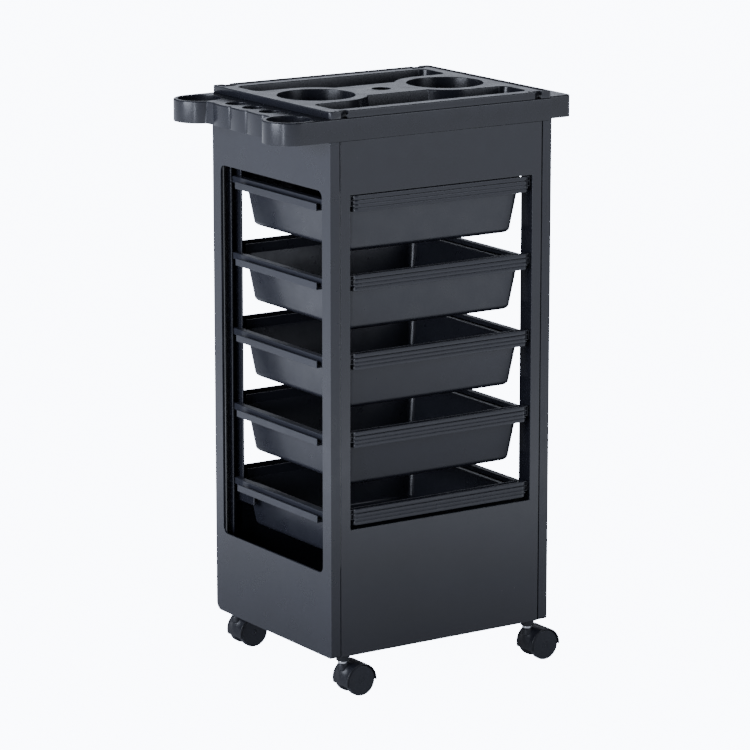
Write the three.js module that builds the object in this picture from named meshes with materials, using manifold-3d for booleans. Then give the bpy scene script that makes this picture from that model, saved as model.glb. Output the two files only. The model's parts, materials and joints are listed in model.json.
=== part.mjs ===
// Rolling salon trolley: a cabinet of two windowed end panels and two open frames, five tub drawers on
// runner rails, a top frame with tool holders and a push handle, a drop-in tool tray and four twin-wheel
// casters. Millimetres, +Z up, front towards -Y, floor at z = 0, origin under the middle of its outline.
import * as THREE from "three";
import { mergeVertices } from "three/addons/utils/BufferGeometryUtils.js";
import Module from "manifold-3d";

// Overall sizes of the cabinet, outside its walls.
const CABINET_WIDTH = 378;
const CABINET_DEPTH = 316;
const CABINET_HEIGHT = 744;
const WALL = 3;
const TOUCH_GAP = 0.3; // between pieces that rest on or fit in each other
const CUT = 5; // how far a cutting solid runs past the face it opens

// End panels.
const RETURN_WIDTH = 15.5;
const WINDOW_SIDE_MARGIN = 22;
const WINDOW_TOP_MARGIN = 71;
const WINDOW_BOTTOM = 122;
const WINDOW_RADIUS = 10;
const PANEL_FOOT_RADIUS = 12;
const PANEL_TOE_RADIUS = 4; // its front foot corners
const FLANGE_REACH = 14;
const FLANGE_END_MARGIN = 28;

// Front and rear frames.
const SEAM = 1.5; // between an end panel's return and a frame
const UPRIGHT_WIDTH = 16;
const INNER_RETURN = 26;
const OUTER_RETURN = 19;
const APRON_HEIGHT = 77;
const SILL_HEIGHT = 186;
const INNER_RETURN_BASE = 166; // the inner returns run on behind the lower panel
const GUSSET_REACH = 56; // their foot runs back under the lowest rail
const GUSSET_RISE = 2.3; // and stands this much above the sill
const RETURN_BASE = 34;
const FRAME_FLANGE_HALF = 130;

// Drawers, each measured down from the top of its pull strip.
const DRAWER_COUNT = 5;
const STRIP_HEIGHT = 23.5;
const STRIP_RADIUS = 9;
const STRIP_RETURN = 12;
const STRIP_TOP_GAP = 1;
const STRIP_SILL_GAP = 5.3;
const EAR_DROP = 1;
const EAR_THICKNESS = 4;
const EAR_SETBACK = 4;
const RIM_DROP = 16;
const RIM_THICKNESS = 2.2;
const RIM_SIDE_CLEARANCE = 0.8; // between a drawer's rim and the frame opening
const RIM_END_LIP = 4;
const UPSTAND_DROP = 2.5;
const UPSTAND_END = 3;
const TUB_WALL = 2;
const TUB_SIDE_SETBACK = 5.5; // tub wall in from the rim's edge
const TUB_END_SETBACK = 19; // tub wall in from the cabinet's face
const TUB_RADIUS = 12;
const TUB_DRAFT = 10;
const TUB_EDGE_RADIUS = 8;
const DRAWER_HEADROOM = 27; // between a tub's floor and the pull strip below it

// Runner rails, folded strips whose section is measured from the drawer's rim.
const RAIL_WALL = 2;
const RAIL_LIP_HEIGHT = 10.5;
const RAIL_LIP_DROP = 15;
const RAIL_LIP_SETBACK = 4.7; // lip in from the end panel's inner face
const RAIL_GUIDE_DROP = 10.5;
const RAIL_GUIDE_WIDTH = 10.5;
const RAIL_GUIDE_CLEARANCE = 5.3; // between the opening's edge and the guide
const RAIL_LEDGE_CLEARANCE = 1; // from the tub to a pull strip's end, and from there to the ledge
const RAIL_END_SETBACK = 49;
const TENON_HEIGHT = 10;
const TENON_ROOT = 8; // how far a tenon reaches back into its rail
const TENON_TIP_GAP = 5;

// Base plate, sockets and stems.
const CASTER_INSET_X = 27;
const CASTER_INSET_Y = 12;
const SOCKET_FLANGE_RADIUS = 10;
const SOCKET_FLANGE_HEIGHT = 7.4;
const SOCKET_RADIUS = 7;
const SOCKET_DEPTH = 25;
const SOCKET_ROOF = 2;
const STEM_RADIUS = 5.5;
const STEM_COLLAR_RADIUS = 7.5;
const STEM_COLLAR_HEIGHT = 4;
const STEM_HOOD_DEPTH = 15;

// Casters.
const WHEEL_RADIUS = 22.5;
const WHEEL_WIDTH = 9.4;
const WHEEL_EDGE = 1.5;
const WHEEL_BORE_DEPTH = 7;
const CASTER_TRAIL = 20;
const HUB_RADIUS = 9;
const HUB_WHEEL_CLEARANCE = 0.6;
const HUB_BELOW_STEM = 2;
const FENDER_CLEARANCE = 0.8;
const FENDER_WALL = 2;
const FENDER_OVERHANG = 0.8;
const FENDER_START_DEG = -3;
const FENDER_END_DEG = 196;
const HOOD_WEB_HALF = 4;
const AXLE_RADIUS = 2;
const AXLE_BOSS_RADIUS = 5;
const AXLE_END_GAP = 0.5;

// Top frame.
const SKIRT_HEIGHT = 32;
const SHELF_REACH_X = 18;
const SHELF_REACH_Y = 21;
const DECK_REACH = 52.5;
const FLUTE_BULGE = 3;
const FLUTE_RADIUS = 45;
const HOOP_REACH = 43.6;
const HOOP_RADIUS = 37.5;
const HOOP_BORE = 31;
const TOOL_HOLE_REACH = 28;
const TOOL_HOLE_RADIUS = 14.5;
const TOOL_HOLE_PITCH = 45;
const TOOL_HOLE_WALL = 2;
const HANDLE_REACH = 43.6;
const HANDLE_END_MARGIN = 10;
const HANDLE_RADIUS = 10;
const HANDLE_SLOT_INSET = 12;
const HANDLE_SLOT_WIDTH = 20;
const HANDLE_SLOT_HALF = 62;

// Tool tray.
const TRAY_RIM_HEIGHT = 10.6;
const TRAY_WEB = 3;
const TRAY_WALL = 2;
const BOWL_RADIUS = 56;
const BOWL_CLEARANCE = 2; // between a bowl's outside and the edge of the frame's well
const BOWL_DEPTH = 35;
const CENTRE_HOLE_RADIUS = 13.5;
const TROUGH_END_MARGIN = 24.5;
const TROUGH_SIDE_MARGIN = 25;
const TROUGH_BAND = 18; // web between a bowl and a trough
const TROUGH_WAIST = 44;
const TROUGH_CORNER = 10;
const TROUGH_DEPTH = 30;
const NOTCH_WIDTH = 12;
const NOTCH_DEPTH = 8;
const NOTCH_REACH = 165;

// Screws.
const SCREW_RADIUS = 2;
const SCREW_HEAD_RADIUS = 4;
const SCREW_HEAD_HEIGHT = 2;
const SCREW_CROWN_RADIUS = 2.8;
const SCREW_LENGTH = 14;
const SCREW_REACH_X = 10.5; // from the cabinet's side
const SCREW_INSET_Y = 58; // from the cabinet's front and rear
const BOSS_RADIUS = 5;

// Roundness of curved shapes.
const ROUND_SEGMENTS = 24;
const SMALL_SEGMENTS = 12;
const SCREW_SEGMENTS = 6;
const SECTOR_SEGMENTS = 6; // half as many as an arc of a caster's hood takes
const CORNER_SEGMENTS = 2; // half as many as a rounded corner takes

// Places that follow from the sizes above, in the cabinet's own frame.
const HALF_WIDTH = CABINET_WIDTH / 2;
const HALF_DEPTH = CABINET_DEPTH / 2;
const INNER_X = HALF_WIDTH - WALL;
const INNER_Y = HALF_DEPTH - WALL;
const WALL_TOP = CABINET_HEIGHT - TOUCH_GAP;
const FRAME_HALF = HALF_WIDTH - RETURN_WIDTH - SEAM;
const OPENING_HALF = FRAME_HALF - UPRIGHT_WIDTH;
const OPENING_TOP = CABINET_HEIGHT - APRON_HEIGHT;
const FLANGE_BOTTOM = WALL + TOUCH_GAP;
const FIRST_STRIP_TOP = OPENING_TOP - STRIP_TOP_GAP;
const LAST_STRIP_TOP = SILL_HEIGHT + STRIP_SILL_GAP + STRIP_HEIGHT;
const DRAWER_PITCH = (FIRST_STRIP_TOP - LAST_STRIP_TOP) / (DRAWER_COUNT - 1);
const TUB_DROP = DRAWER_PITCH - DRAWER_HEADROOM;
const RIM_HALF = OPENING_HALF - RIM_SIDE_CLEARANCE;
const TUB_HALF_X = RIM_HALF - TUB_SIDE_SETBACK;
const TUB_HALF_Y = HALF_DEPTH - TUB_END_SETBACK;
const STRIP_HALF = TUB_HALF_X + RAIL_LEDGE_CLEARANCE;
const LEDGE_EDGE = STRIP_HALF + RAIL_LEDGE_CLEARANCE;
const RIM_BOTTOM = -RIM_DROP - RIM_THICKNESS;
const LEDGE_TOP = RIM_BOTTOM - TOUCH_GAP;
const RAIL_LIP_X = INNER_X - RAIL_LIP_SETBACK;
const RAIL_GUIDE_X = OPENING_HALF + RAIL_GUIDE_CLEARANCE;
const RAIL_HALF = HALF_DEPTH - RAIL_END_SETBACK;
const FENDER_RADIUS = WHEEL_RADIUS + FENDER_CLEARANCE;
const HOOD_TOP = FENDER_RADIUS + FENDER_WALL; // over the axle
const COLLAR_TOP = -SOCKET_FLANGE_HEIGHT - 2 * TOUCH_GAP;
const CASTER_HEIGHT = WHEEL_RADIUS + HOOD_TOP + TOUCH_GAP + STEM_COLLAR_HEIGHT - COLLAR_TOP;
const TOP_FRAME_TOP = CABINET_HEIGHT + SKIRT_HEIGHT;
const TRAY_TOP = TOP_FRAME_TOP + TRAY_RIM_HEIGHT;
const BOWL_REACH = HALF_WIDTH - SHELF_REACH_X - BOWL_CLEARANCE - TRAY_WALL - BOWL_RADIUS;
const LEFT_REACH = HALF_WIDTH + HOOP_REACH + HOOP_RADIUS;
const RIGHT_REACH = HALF_WIDTH + HANDLE_REACH;
const CENTRE_SHIFT = (LEFT_REACH - RIGHT_REACH) / 2;
const SIDES = { left: -1, right: 1 };
const ENDS = { front: -1, rear: 1 };

const wasm = await Module();
wasm.setup();

/** The manifold-3d solid of a closed three.js geometry. */
function solid(geometry) {
  const bare = new THREE.BufferGeometry();
  const source = geometry.index ? geometry.toNonIndexed() : geometry;
  bare.setAttribute("position", source.getAttribute("position"));
  const merged = mergeVertices(bare, 1e-4);
  return new wasm.Manifold(
    new wasm.Mesh({
      numProp: 3,
      vertProperties: new Float32Array(merged.attributes.position.array),
      triVerts: new Uint32Array(merged.index.array),
    }),
  );
}

/** The three.js geometry of a manifold-3d solid, with flat faces. */
function geometryOf(body) {
  const mesh = body.getMesh();
  const geometry = new THREE.BufferGeometry();
  geometry.setAttribute("position", new THREE.BufferAttribute(mesh.vertProperties, 3));
  geometry.setIndex(new THREE.BufferAttribute(mesh.triVerts, 1));
  const flat = geometry.toNonIndexed();
  flat.computeVertexNormals();
  return flat;
}

/** Joins a list of solids into one. */
function join(solids) {
  return solids.reduce((whole, piece) => whole.add(piece));
}

/** Cuts a list of solids out of a body. */
function cut(body, solids) {
  return solids.reduce((rest, piece) => rest.subtract(piece), body);
}

/** A block between two corners, given in any order. */
function block(xs, ys, zs) {
  const pairs = [xs, ys, zs];
  const sizes = pairs.map(([from, to]) => Math.abs(to - from));
  const middle = pairs.map(([from, to]) => (from + to) / 2);
  return solid(new THREE.BoxGeometry(...sizes).translate(...middle));
}

/** A rounded rectangle between two pairs of edges. */
function roundedRect([left, right], [low, high], radius) {
  const shape = new THREE.Shape();
  shape.absarc(right - radius, low + radius, radius, -Math.PI / 2, 0);
  shape.absarc(right - radius, high - radius, radius, 0, Math.PI / 2);
  shape.absarc(left + radius, high - radius, radius, Math.PI / 2, Math.PI);
  shape.absarc(left + radius, low + radius, radius, Math.PI, Math.PI * 1.5);
  return shape;
}

/** Extrudes an outline by a depth, in a number of steps and with a roundness for its arcs. */
function extrude(shape, depth, { steps = 1, curveSegments = CORNER_SEGMENTS } = {}) {
  return new THREE.ExtrudeGeometry(shape, { depth, steps, bevelEnabled: false, curveSegments });
}

/** A slab whose outline lies in plan (x, y), between two heights. */
function slabZ(shape, [low, high]) {
  return solid(extrude(shape, high - low).translate(0, 0, low));
}

/** A slab whose outline is seen from the side (y, z), between two x places given in any order. */
function slabX(shape, xs) {
  const [low, high] = [Math.min(...xs), Math.max(...xs)];
  const [x, y, z] = axes();
  const geometry = extrude(shape, high - low).applyMatrix4(new THREE.Matrix4().makeBasis(y, z, x));
  return solid(geometry.translate(low, 0, 0));
}

/** A slab whose outline is seen from the front (x, z), between two y places given in any order. */
function slabY(shape, ys) {
  const [low, high] = [Math.min(...ys), Math.max(...ys)];
  const [x, y, z] = axes();
  const basis = new THREE.Matrix4().makeBasis(x, z, y.negate());
  return solid(extrude(shape, high - low).applyMatrix4(basis).translate(0, high, 0));
}

/** The three unit vectors of the frame. */
function axes() {
  return [new THREE.Vector3(1, 0, 0), new THREE.Vector3(0, 1, 0), new THREE.Vector3(0, 0, 1)];
}

/** An upright cylinder at a place in plan, between two heights. */
function post([x, y], radius, [low, high], segments = SMALL_SEGMENTS) {
  const geometry = new THREE.CylinderGeometry(radius, radius, high - low, segments);
  return solid(geometry.rotateX(Math.PI / 2).translate(x, y, (low + high) / 2));
}

/** A turned shape about the Y axis, from (radius, height) points that start and end on the axis. */
function lathe(points, segments) {
  const profile = points.map(([radius, height]) => new THREE.Vector2(radius, height));
  return new THREE.LatheGeometry(profile, segments);
}

/** A turned solid about the Z axis, from (radius, height) points that start and end on the axis. */
function turned(points, segments = SMALL_SEGMENTS) {
  return solid(lathe(points, segments).rotateX(Math.PI / 2));
}

/** An outline through a list of points. */
function polygon(points) {
  return new THREE.Shape(points.map(([u, v]) => new THREE.Vector2(u, v)));
}

/** A solid turned half a revolution about the vertical axis. */
function halfTurn(body) {
  return solid(geometryOf(body).rotateZ(Math.PI));
}

// Finishes.
const darkPlastic = { color: 0x24262b, roughness: 0.42, metalness: 0 };
const panelPlastic = { color: 0x2c2f35, roughness: 0.36, metalness: 0 };
const drawerPlastic = { color: 0x2e3036, roughness: 0.45, metalness: 0 };
const casterPlastic = { color: 0x121316, roughness: 0.5, metalness: 0 };
const tyrePlastic = { color: 0x17181b, roughness: 0.6, metalness: 0 };
const chrome = { color: 0xd8dade, roughness: 0.12, metalness: 1 };
const steel = { color: 0x9a9ca0, roughness: 0.35, metalness: 1 };

const trolley = new THREE.Group();
const cabinet = new THREE.Group();
cabinet.position.set(CENTRE_SHIFT, 0, CASTER_HEIGHT);
trolley.add(cabinet);

/** Adds a named mesh of a solid to a group, at a place in it. */
function addPiece(group, name, body, finish, place = [0, 0, 0]) {
  const mesh = new THREE.Mesh(geometryOf(body), new THREE.MeshStandardMaterial(finish));
  mesh.name = name;
  mesh.position.set(...place);
  group.add(mesh);
}

/** Runs a function for each corner, with the signs of its side and end and the corner's name. */
function atEachCorner(action) {
  for (const [side, x] of Object.entries(SIDES))
    for (const [end, y] of Object.entries(ENDS)) action(x, y, `${end}_${side}`);
}

/** The four screw places in plan. */
function screwPlaces() {
  const places = [];
  atEachCorner((x, y) =>
    places.push([x * (HALF_WIDTH - SCREW_REACH_X), y * (HALF_DEPTH - SCREW_INSET_Y)]),
  );
  return places;
}

/** Screw holes through everything between two heights. */
function screwHoles(heights) {
  return screwPlaces().map((place) => post(place, SCREW_RADIUS + TOUCH_GAP, heights));
}

/** The side view (y, z) of an end panel, its foot corners rounded, with the window left out. */
function panelOutline() {
  const shape = new THREE.Shape();
  shape.absarc(PANEL_TOE_RADIUS - HALF_DEPTH, PANEL_TOE_RADIUS, PANEL_TOE_RADIUS, Math.PI, 1.5 * Math.PI);
  shape.lineTo(HALF_DEPTH - PANEL_FOOT_RADIUS, 0);
  shape.absarc(HALF_DEPTH - PANEL_FOOT_RADIUS, PANEL_FOOT_RADIUS, PANEL_FOOT_RADIUS, -Math.PI / 2, 0);
  shape.lineTo(HALF_DEPTH, WALL_TOP);
  shape.lineTo(-HALF_DEPTH, WALL_TOP);
  return shape;
}

/** An end panel: a windowed wall with a return round each corner and a flange at foot and head. */
function endPanel(side) {
  const windowHalf = HALF_DEPTH - WINDOW_SIDE_MARGIN;
  const window = roundedRect(
    [-windowHalf, windowHalf],
    [WINDOW_BOTTOM, CABINET_HEIGHT - WINDOW_TOP_MARGIN],
    WINDOW_RADIUS,
  );
  const outer = slabX(panelOutline(), [side * HALF_WIDTH, side * (HALF_WIDTH - RETURN_WIDTH)]);
  const inside = block([side * INNER_X, 0], [-INNER_Y, INNER_Y], [-CUT, CABINET_HEIGHT]);
  const opening = slabX(window, [side * (HALF_WIDTH + CUT), side * (INNER_X - CUT)]);
  const flangeX = [side * (INNER_X + WALL / 2), side * (INNER_X - FLANGE_REACH)];
  const flangeY = [FLANGE_END_MARGIN - HALF_DEPTH, HALF_DEPTH - FLANGE_END_MARGIN];
  const foot = block(flangeX, flangeY, [FLANGE_BOTTOM, FLANGE_BOTTOM + WALL]);
  const head = block(flangeX, flangeY, [WALL_TOP - WALL, WALL_TOP]);
  const body = join([cut(outer, [inside]), foot, head]);
  return cut(body, [opening, ...screwHoles([-CUT, TOP_FRAME_TOP])]);
}

/** The front frame: a plate with one tall opening, U-shaped uprights and a foot flange. */
function frontFrame() {
  const plate = block([-FRAME_HALF, FRAME_HALF], [-HALF_DEPTH, -INNER_Y], [0, WALL_TOP]);
  const opening = block(
    [-OPENING_HALF, OPENING_HALF],
    [-HALF_DEPTH - CUT, -INNER_Y + CUT],
    [SILL_HEIGHT, OPENING_TOP],
  );
  const overlapY = -INNER_Y - WALL / 2;
  const returns = Object.values(SIDES).flatMap((side) => [
    block(
      [side * OPENING_HALF, side * (OPENING_HALF + WALL)],
      [overlapY, INNER_RETURN - INNER_Y],
      [INNER_RETURN_BASE, OPENING_TOP],
    ),
    block(
      [side * OPENING_HALF, side * (OPENING_HALF + WALL)],
      [overlapY, GUSSET_REACH - INNER_Y],
      [INNER_RETURN_BASE, SILL_HEIGHT + GUSSET_RISE],
    ),
    block(
      [side * (FRAME_HALF - WALL), side * FRAME_HALF],
      [overlapY, OUTER_RETURN - INNER_Y],
      [RETURN_BASE, WALL_TOP],
    ),
  ]);
  const flange = block(
    [-FRAME_FLANGE_HALF, FRAME_FLANGE_HALF],
    [overlapY, FLANGE_REACH - INNER_Y],
    [FLANGE_BOTTOM, FLANGE_BOTTOM + WALL],
  );
  return join([cut(plate, [opening]), ...returns, flange]);
}

/** The base plate between the walls, with holes for the sockets and screws. */
function basePlate() {
  const plate = block(
    [TOUCH_GAP - INNER_X, INNER_X - TOUCH_GAP],
    [TOUCH_GAP - INNER_Y, INNER_Y - TOUCH_GAP],
    [0, WALL],
  );
  const holes = screwHoles([-CUT, CUT + WALL]);
  atEachCorner((x, y) => {
    holes.push(post(casterPlace(x, y), SOCKET_RADIUS + TOUCH_GAP, [-CUT, CUT + WALL]));
  });
  return cut(plate, holes);
}

/** Where a caster's stem stands in plan. */
function casterPlace(x, y) {
  return [x * (HALF_WIDTH - CASTER_INSET_X), y * (HALF_DEPTH - CASTER_INSET_Y)];
}

/** A runner rail for the right side, a folded strip with a tenon at each end. */
function runnerRail() {
  const lip = -RAIL_LIP_DROP;
  const floor = lip - RAIL_LIP_HEIGHT;
  const guide = -RAIL_GUIDE_DROP;
  const guideFar = RAIL_GUIDE_X + RAIL_GUIDE_WIDTH;
  const section = polygon([
    [RAIL_LIP_X, lip],
    [RAIL_LIP_X - RAIL_WALL, lip],
    [RAIL_LIP_X - RAIL_WALL, floor + RAIL_WALL],
    [guideFar, floor + RAIL_WALL],
    [guideFar, guide],
    [RAIL_GUIDE_X, guide],
    [RAIL_GUIDE_X, LEDGE_TOP],
    [LEDGE_EDGE, LEDGE_TOP],
    [LEDGE_EDGE, LEDGE_TOP - RAIL_WALL],
    [RAIL_GUIDE_X + RAIL_WALL, LEDGE_TOP - RAIL_WALL],
    [RAIL_GUIDE_X + RAIL_WALL, guide - RAIL_WALL],
    [guideFar - RAIL_WALL, guide - RAIL_WALL],
    [guideFar - RAIL_WALL, floor],
    [RAIL_LIP_X, floor],
  ]);
  const tenonX = [OPENING_HALF + WALL + TOUCH_GAP, FRAME_HALF - WALL - TOUCH_GAP];
  const tenonZ = [guide - RAIL_WALL / 2 - TENON_HEIGHT, guide - RAIL_WALL / 2];
  const tenons = Object.values(ENDS).map((end) =>
    block(tenonX, [end * (RAIL_HALF - TENON_ROOT), end * (INNER_Y - TENON_TIP_GAP)], tenonZ),
  );
  return join([slabY(section, [-RAIL_HALF, RAIL_HALF]), ...tenons]);
}

/** A tapered tub shape with a rounded foot, grown inwards by a wall and straight above the rim. */
function tubShape(wall, bottom, top) {
  const [halfX, halfY] = [TUB_HALF_X - wall, TUB_HALF_Y - wall];
  const bend = TUB_EDGE_RADIUS * (1 - Math.SQRT1_2); // halfway round the foot's edge
  const levels = [
    [bottom, TUB_DRAFT + TUB_EDGE_RADIUS],
    [bottom + bend, TUB_DRAFT + bend],
    [bottom + TUB_EDGE_RADIUS, TUB_DRAFT],
    [RIM_BOTTOM, 0],
    [top, 0],
  ];
  const outline = roundedRect([-halfX, halfX], [-halfY, halfY], TUB_RADIUS - wall);
  const geometry = extrude(outline, levels.length - 1, { steps: levels.length - 1 });
  const points = geometry.getAttribute("position");
  for (let i = 0; i < points.count; i += 1) {
    const [height, inset] = levels[Math.round(points.getZ(i))];
    const [scaleX, scaleY] = [1 - inset / halfX, 1 - inset / halfY];
    points.setXYZ(i, points.getX(i) * scaleX, points.getY(i) * scaleY, height);
  }
  return solid(geometry);
}

/** The plan of a pull strip, kept in from its front and ends by an inset, with its back in a place. */
function stripPlan(inset, back) {
  const half = STRIP_HALF - inset;
  const front = -HALF_DEPTH + inset;
  const radius = STRIP_RADIUS - inset;
  const shape = new THREE.Shape();
  shape.moveTo(half, back);
  shape.lineTo(-half, back);
  shape.absarc(-half + radius, front + radius, radius, Math.PI, Math.PI * 1.5);
  shape.absarc(half - radius, front + radius, radius, -Math.PI / 2, 0);
  return shape;
}

/** The front pull strip of a drawer: a wall with rounded ends and a low ear at each end. */
function pullStrip() {
  const back = STRIP_RETURN - HALF_DEPTH;
  const hollow = slabZ(stripPlan(WALL, back + CUT), [-STRIP_HEIGHT - CUT, CUT]);
  const ears = Object.values(SIDES).map((side) =>
    block(
      [side * (STRIP_HALF - WALL / 2), side * RIM_HALF],
      [EAR_SETBACK - HALF_DEPTH, EAR_SETBACK + EAR_THICKNESS - HALF_DEPTH],
      [TOUCH_GAP - RIM_DROP, -EAR_DROP],
    ),
  );
  return join([cut(slabZ(stripPlan(0, back), [-STRIP_HEIGHT, 0]), [hollow]), ...ears]);
}

/** A drawer: tub, rim, an upstand and a pull strip at front and rear. */
function drawer() {
  const rimHeights = [RIM_BOTTOM, -RIM_DROP];
  const rimEnd = TUB_HALF_Y + RIM_END_LIP;
  const rim = block([-RIM_HALF, RIM_HALF], [-rimEnd, rimEnd], rimHeights);
  const bridgeX = STRIP_HALF - WALL / 2;
  const bridgeY = HALF_DEPTH - WALL / 2;
  const bridge = block([-bridgeX, bridgeX], [-bridgeY, bridgeY], rimHeights);
  const strip = pullStrip();
  const upstandX = TUB_HALF_X - UPSTAND_END;
  const upstandY = TUB_HALF_Y + TOUCH_GAP;
  const upstands = Object.values(ENDS).map((end) =>
    block(
      [-upstandX, upstandX],
      [end * (upstandY - TUB_WALL), end * upstandY],
      [RIM_BOTTOM + RIM_THICKNESS / 2, -UPSTAND_DROP],
    ),
  );
  const outside = join([tubShape(0, -TUB_DROP, -RIM_DROP - RIM_THICKNESS / 2), rim, bridge]);
  const shell = cut(outside, [tubShape(TUB_WALL, TUB_WALL - TUB_DROP, CUT)]);
  return join([shell, strip, halfTurn(strip), ...upstands]);
}

/** A caster socket: a flanged sleeve with a blind bore that opens downwards. */
function casterSocket() {
  const bore = STEM_RADIUS + TOUCH_GAP;
  const foot = -TOUCH_GAP - SOCKET_FLANGE_HEIGHT;
  return turned([
    [0, SOCKET_DEPTH - SOCKET_ROOF],
    [bore, SOCKET_DEPTH - SOCKET_ROOF],
    [bore, foot],
    [SOCKET_FLANGE_RADIUS, foot],
    [SOCKET_FLANGE_RADIUS, -TOUCH_GAP],
    [SOCKET_RADIUS, -TOUCH_GAP],
    [SOCKET_RADIUS, SOCKET_DEPTH],
    [0, SOCKET_DEPTH],
  ]);
}

/** A caster's stem with its bright collar, in the cabinet's heights. */
function casterStem() {
  const collarFoot = COLLAR_TOP - STEM_COLLAR_HEIGHT;
  const tip = SOCKET_DEPTH - SOCKET_ROOF - TOUCH_GAP;
  return turned([
    [0, collarFoot - STEM_HOOD_DEPTH],
    [STEM_RADIUS, collarFoot - STEM_HOOD_DEPTH],
    [STEM_RADIUS, collarFoot],
    [STEM_COLLAR_RADIUS, collarFoot],
    [STEM_COLLAR_RADIUS, COLLAR_TOP],
    [STEM_RADIUS, COLLAR_TOP],
    [STEM_RADIUS, tip],
    [0, tip],
  ]);
}

/** The side view (x, z) of the fender's sector of a ring about the axle, between two radii. */
function ringSector(inner, outer) {
  const [start, end] = [FENDER_START_DEG, FENDER_END_DEG].map(THREE.MathUtils.degToRad);
  const shape = new THREE.Shape();
  shape.absarc(0, 0, outer, start, end, false);
  shape.absarc(0, 0, inner, end, start, true);
  return shape;
}

/** A caster's hood about its axle: fender, middle web and the hub that the stem enters. */
function casterHood() {
  const half = HUB_RADIUS + HUB_WHEEL_CLEARANCE + WHEEL_WIDTH + FENDER_OVERHANG;
  const fender = hoodSlab(ringSector(FENDER_RADIUS, HOOD_TOP), [-half, half]);
  const web = hoodSlab(
    ringSector(AXLE_RADIUS + TOUCH_GAP, FENDER_RADIUS + FENDER_WALL / 2),
    [-HOOD_WEB_HALF, HOOD_WEB_HALF],
  );
  const axleBoss = pinY(AXLE_BOSS_RADIUS, HUB_RADIUS);
  const stemFoot = HOOD_TOP + TOUCH_GAP - STEM_HOOD_DEPTH;
  const hub = post([-CASTER_TRAIL, 0], HUB_RADIUS, [stemFoot - HUB_BELOW_STEM, HOOD_TOP]);
  const bore = post([-CASTER_TRAIL, 0], STEM_RADIUS + TOUCH_GAP, [stemFoot - TOUCH_GAP, HOOD_TOP + CUT]);
  const axleHole = pinY(AXLE_RADIUS + TOUCH_GAP, HUB_RADIUS + CUT);
  return cut(join([fender, web, hub, axleBoss]), [bore, axleHole]);
}

/** A slab in the caster's side view (x, z), between two y places. */
function hoodSlab(shape, [low, high]) {
  const geometry = extrude(shape, high - low, { curveSegments: SECTOR_SEGMENTS });
  return solid(geometry.rotateX(Math.PI / 2).translate(0, high, 0));
}

/** A pin along the axle, centred on it, with a half length. */
function pinY(radius, half) {
  return solid(new THREE.CylinderGeometry(radius, radius, 2 * half, SMALL_SEGMENTS));
}

/** A wheel facing the rear, its inner face at y = 0, with a blind bore for the axle. */
function wheel() {
  const bore = AXLE_RADIUS + TOUCH_GAP;
  const flat = WHEEL_RADIUS - WHEEL_EDGE;
  const points = [
    [0, WHEEL_BORE_DEPTH],
    [bore, WHEEL_BORE_DEPTH],
    [bore, 0],
    [flat, 0],
    [WHEEL_RADIUS, WHEEL_EDGE],
    [WHEEL_RADIUS, WHEEL_WIDTH - WHEEL_EDGE],
    [flat, WHEEL_WIDTH],
    [0, WHEEL_WIDTH],
  ];
  return solid(lathe(points, ROUND_SEGMENTS));
}

/** Adds one caster under a corner of the cabinet. */
function addCaster(x, y, corner) {
  const [stemX, stemY] = casterPlace(x, y);
  const place = [stemX, stemY, 0];
  addPiece(cabinet, `caster_socket_${corner}`, casterSocket(), casterPlastic, place);
  addPiece(cabinet, `caster_stem_${corner}`, casterStem(), chrome, place);
  const running = new THREE.Group();
  running.position.set(stemX + CASTER_TRAIL, stemY, WHEEL_RADIUS - CASTER_HEIGHT);
  cabinet.add(running);
  const inner = HUB_RADIUS + HUB_WHEEL_CLEARANCE;
  addPiece(running, `caster_hood_${corner}`, casterHood(), casterPlastic);
  const axleHalf = inner + WHEEL_BORE_DEPTH - AXLE_END_GAP;
  addPiece(running, `caster_axle_${corner}`, pinY(AXLE_RADIUS, axleHalf), steel);
  addPiece(running, `caster_wheel_${corner}_rear`, wheel(), tyrePlastic, [0, inner, 0]);
  addPiece(running, `caster_wheel_${corner}_front`, halfTurn(wheel()), tyrePlastic, [0, -inner, 0]);
}

/** The plan pieces of the left tool deck, each kept in by an inset, between two heights. */
function toolDeck(inset, heights) {
  const edge = -HALF_WIDTH - DECK_REACH;
  const deck = block([edge + inset, -HALF_WIDTH - inset], [inset - HALF_DEPTH, HALF_DEPTH - inset], heights);
  const flutes = toolHolePlaces().map(([, y]) =>
    post([edge - FLUTE_BULGE + FLUTE_RADIUS, y], FLUTE_RADIUS - inset, heights, ROUND_SEGMENTS),
  );
  const fluteReach = block([edge - HOOP_RADIUS, -HALF_WIDTH - inset], [-HALF_DEPTH, HALF_DEPTH], heights);
  return join([deck, join(flutes).intersect(fluteReach)]);
}

/** Where the three small tool holes stand in plan. */
function toolHolePlaces() {
  return [-1, 0, 1].map((index) => [-HALF_WIDTH - TOOL_HOLE_REACH, index * TOOL_HOLE_PITCH]);
}

/** Where the two hair-dryer hoops stand in plan. */
function hoopPlaces() {
  return Object.values(ENDS).map((end) => [-HALF_WIDTH - HOOP_REACH, end * (HALF_DEPTH - HOOP_RADIUS)]);
}

/** The handle deck's plan, kept in by an inset. */
function handlePlan(inset) {
  const half = HALF_DEPTH - HANDLE_END_MARGIN - inset;
  const far = HALF_WIDTH + HANDLE_REACH - inset;
  return roundedRect([HALF_WIDTH - WALL, far], [-half, half], HANDLE_RADIUS - inset);
}

/** The handle's finger slot in plan, grown by a margin. */
function slotPlan(margin) {
  const far = HALF_WIDTH + HANDLE_REACH - HANDLE_SLOT_INSET;
  return roundedRect(
    [far - HANDLE_SLOT_WIDTH - margin, far + margin],
    [-HANDLE_SLOT_HALF - margin, HANDLE_SLOT_HALF + margin],
    HANDLE_RADIUS - WALL + margin,
  );
}

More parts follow.
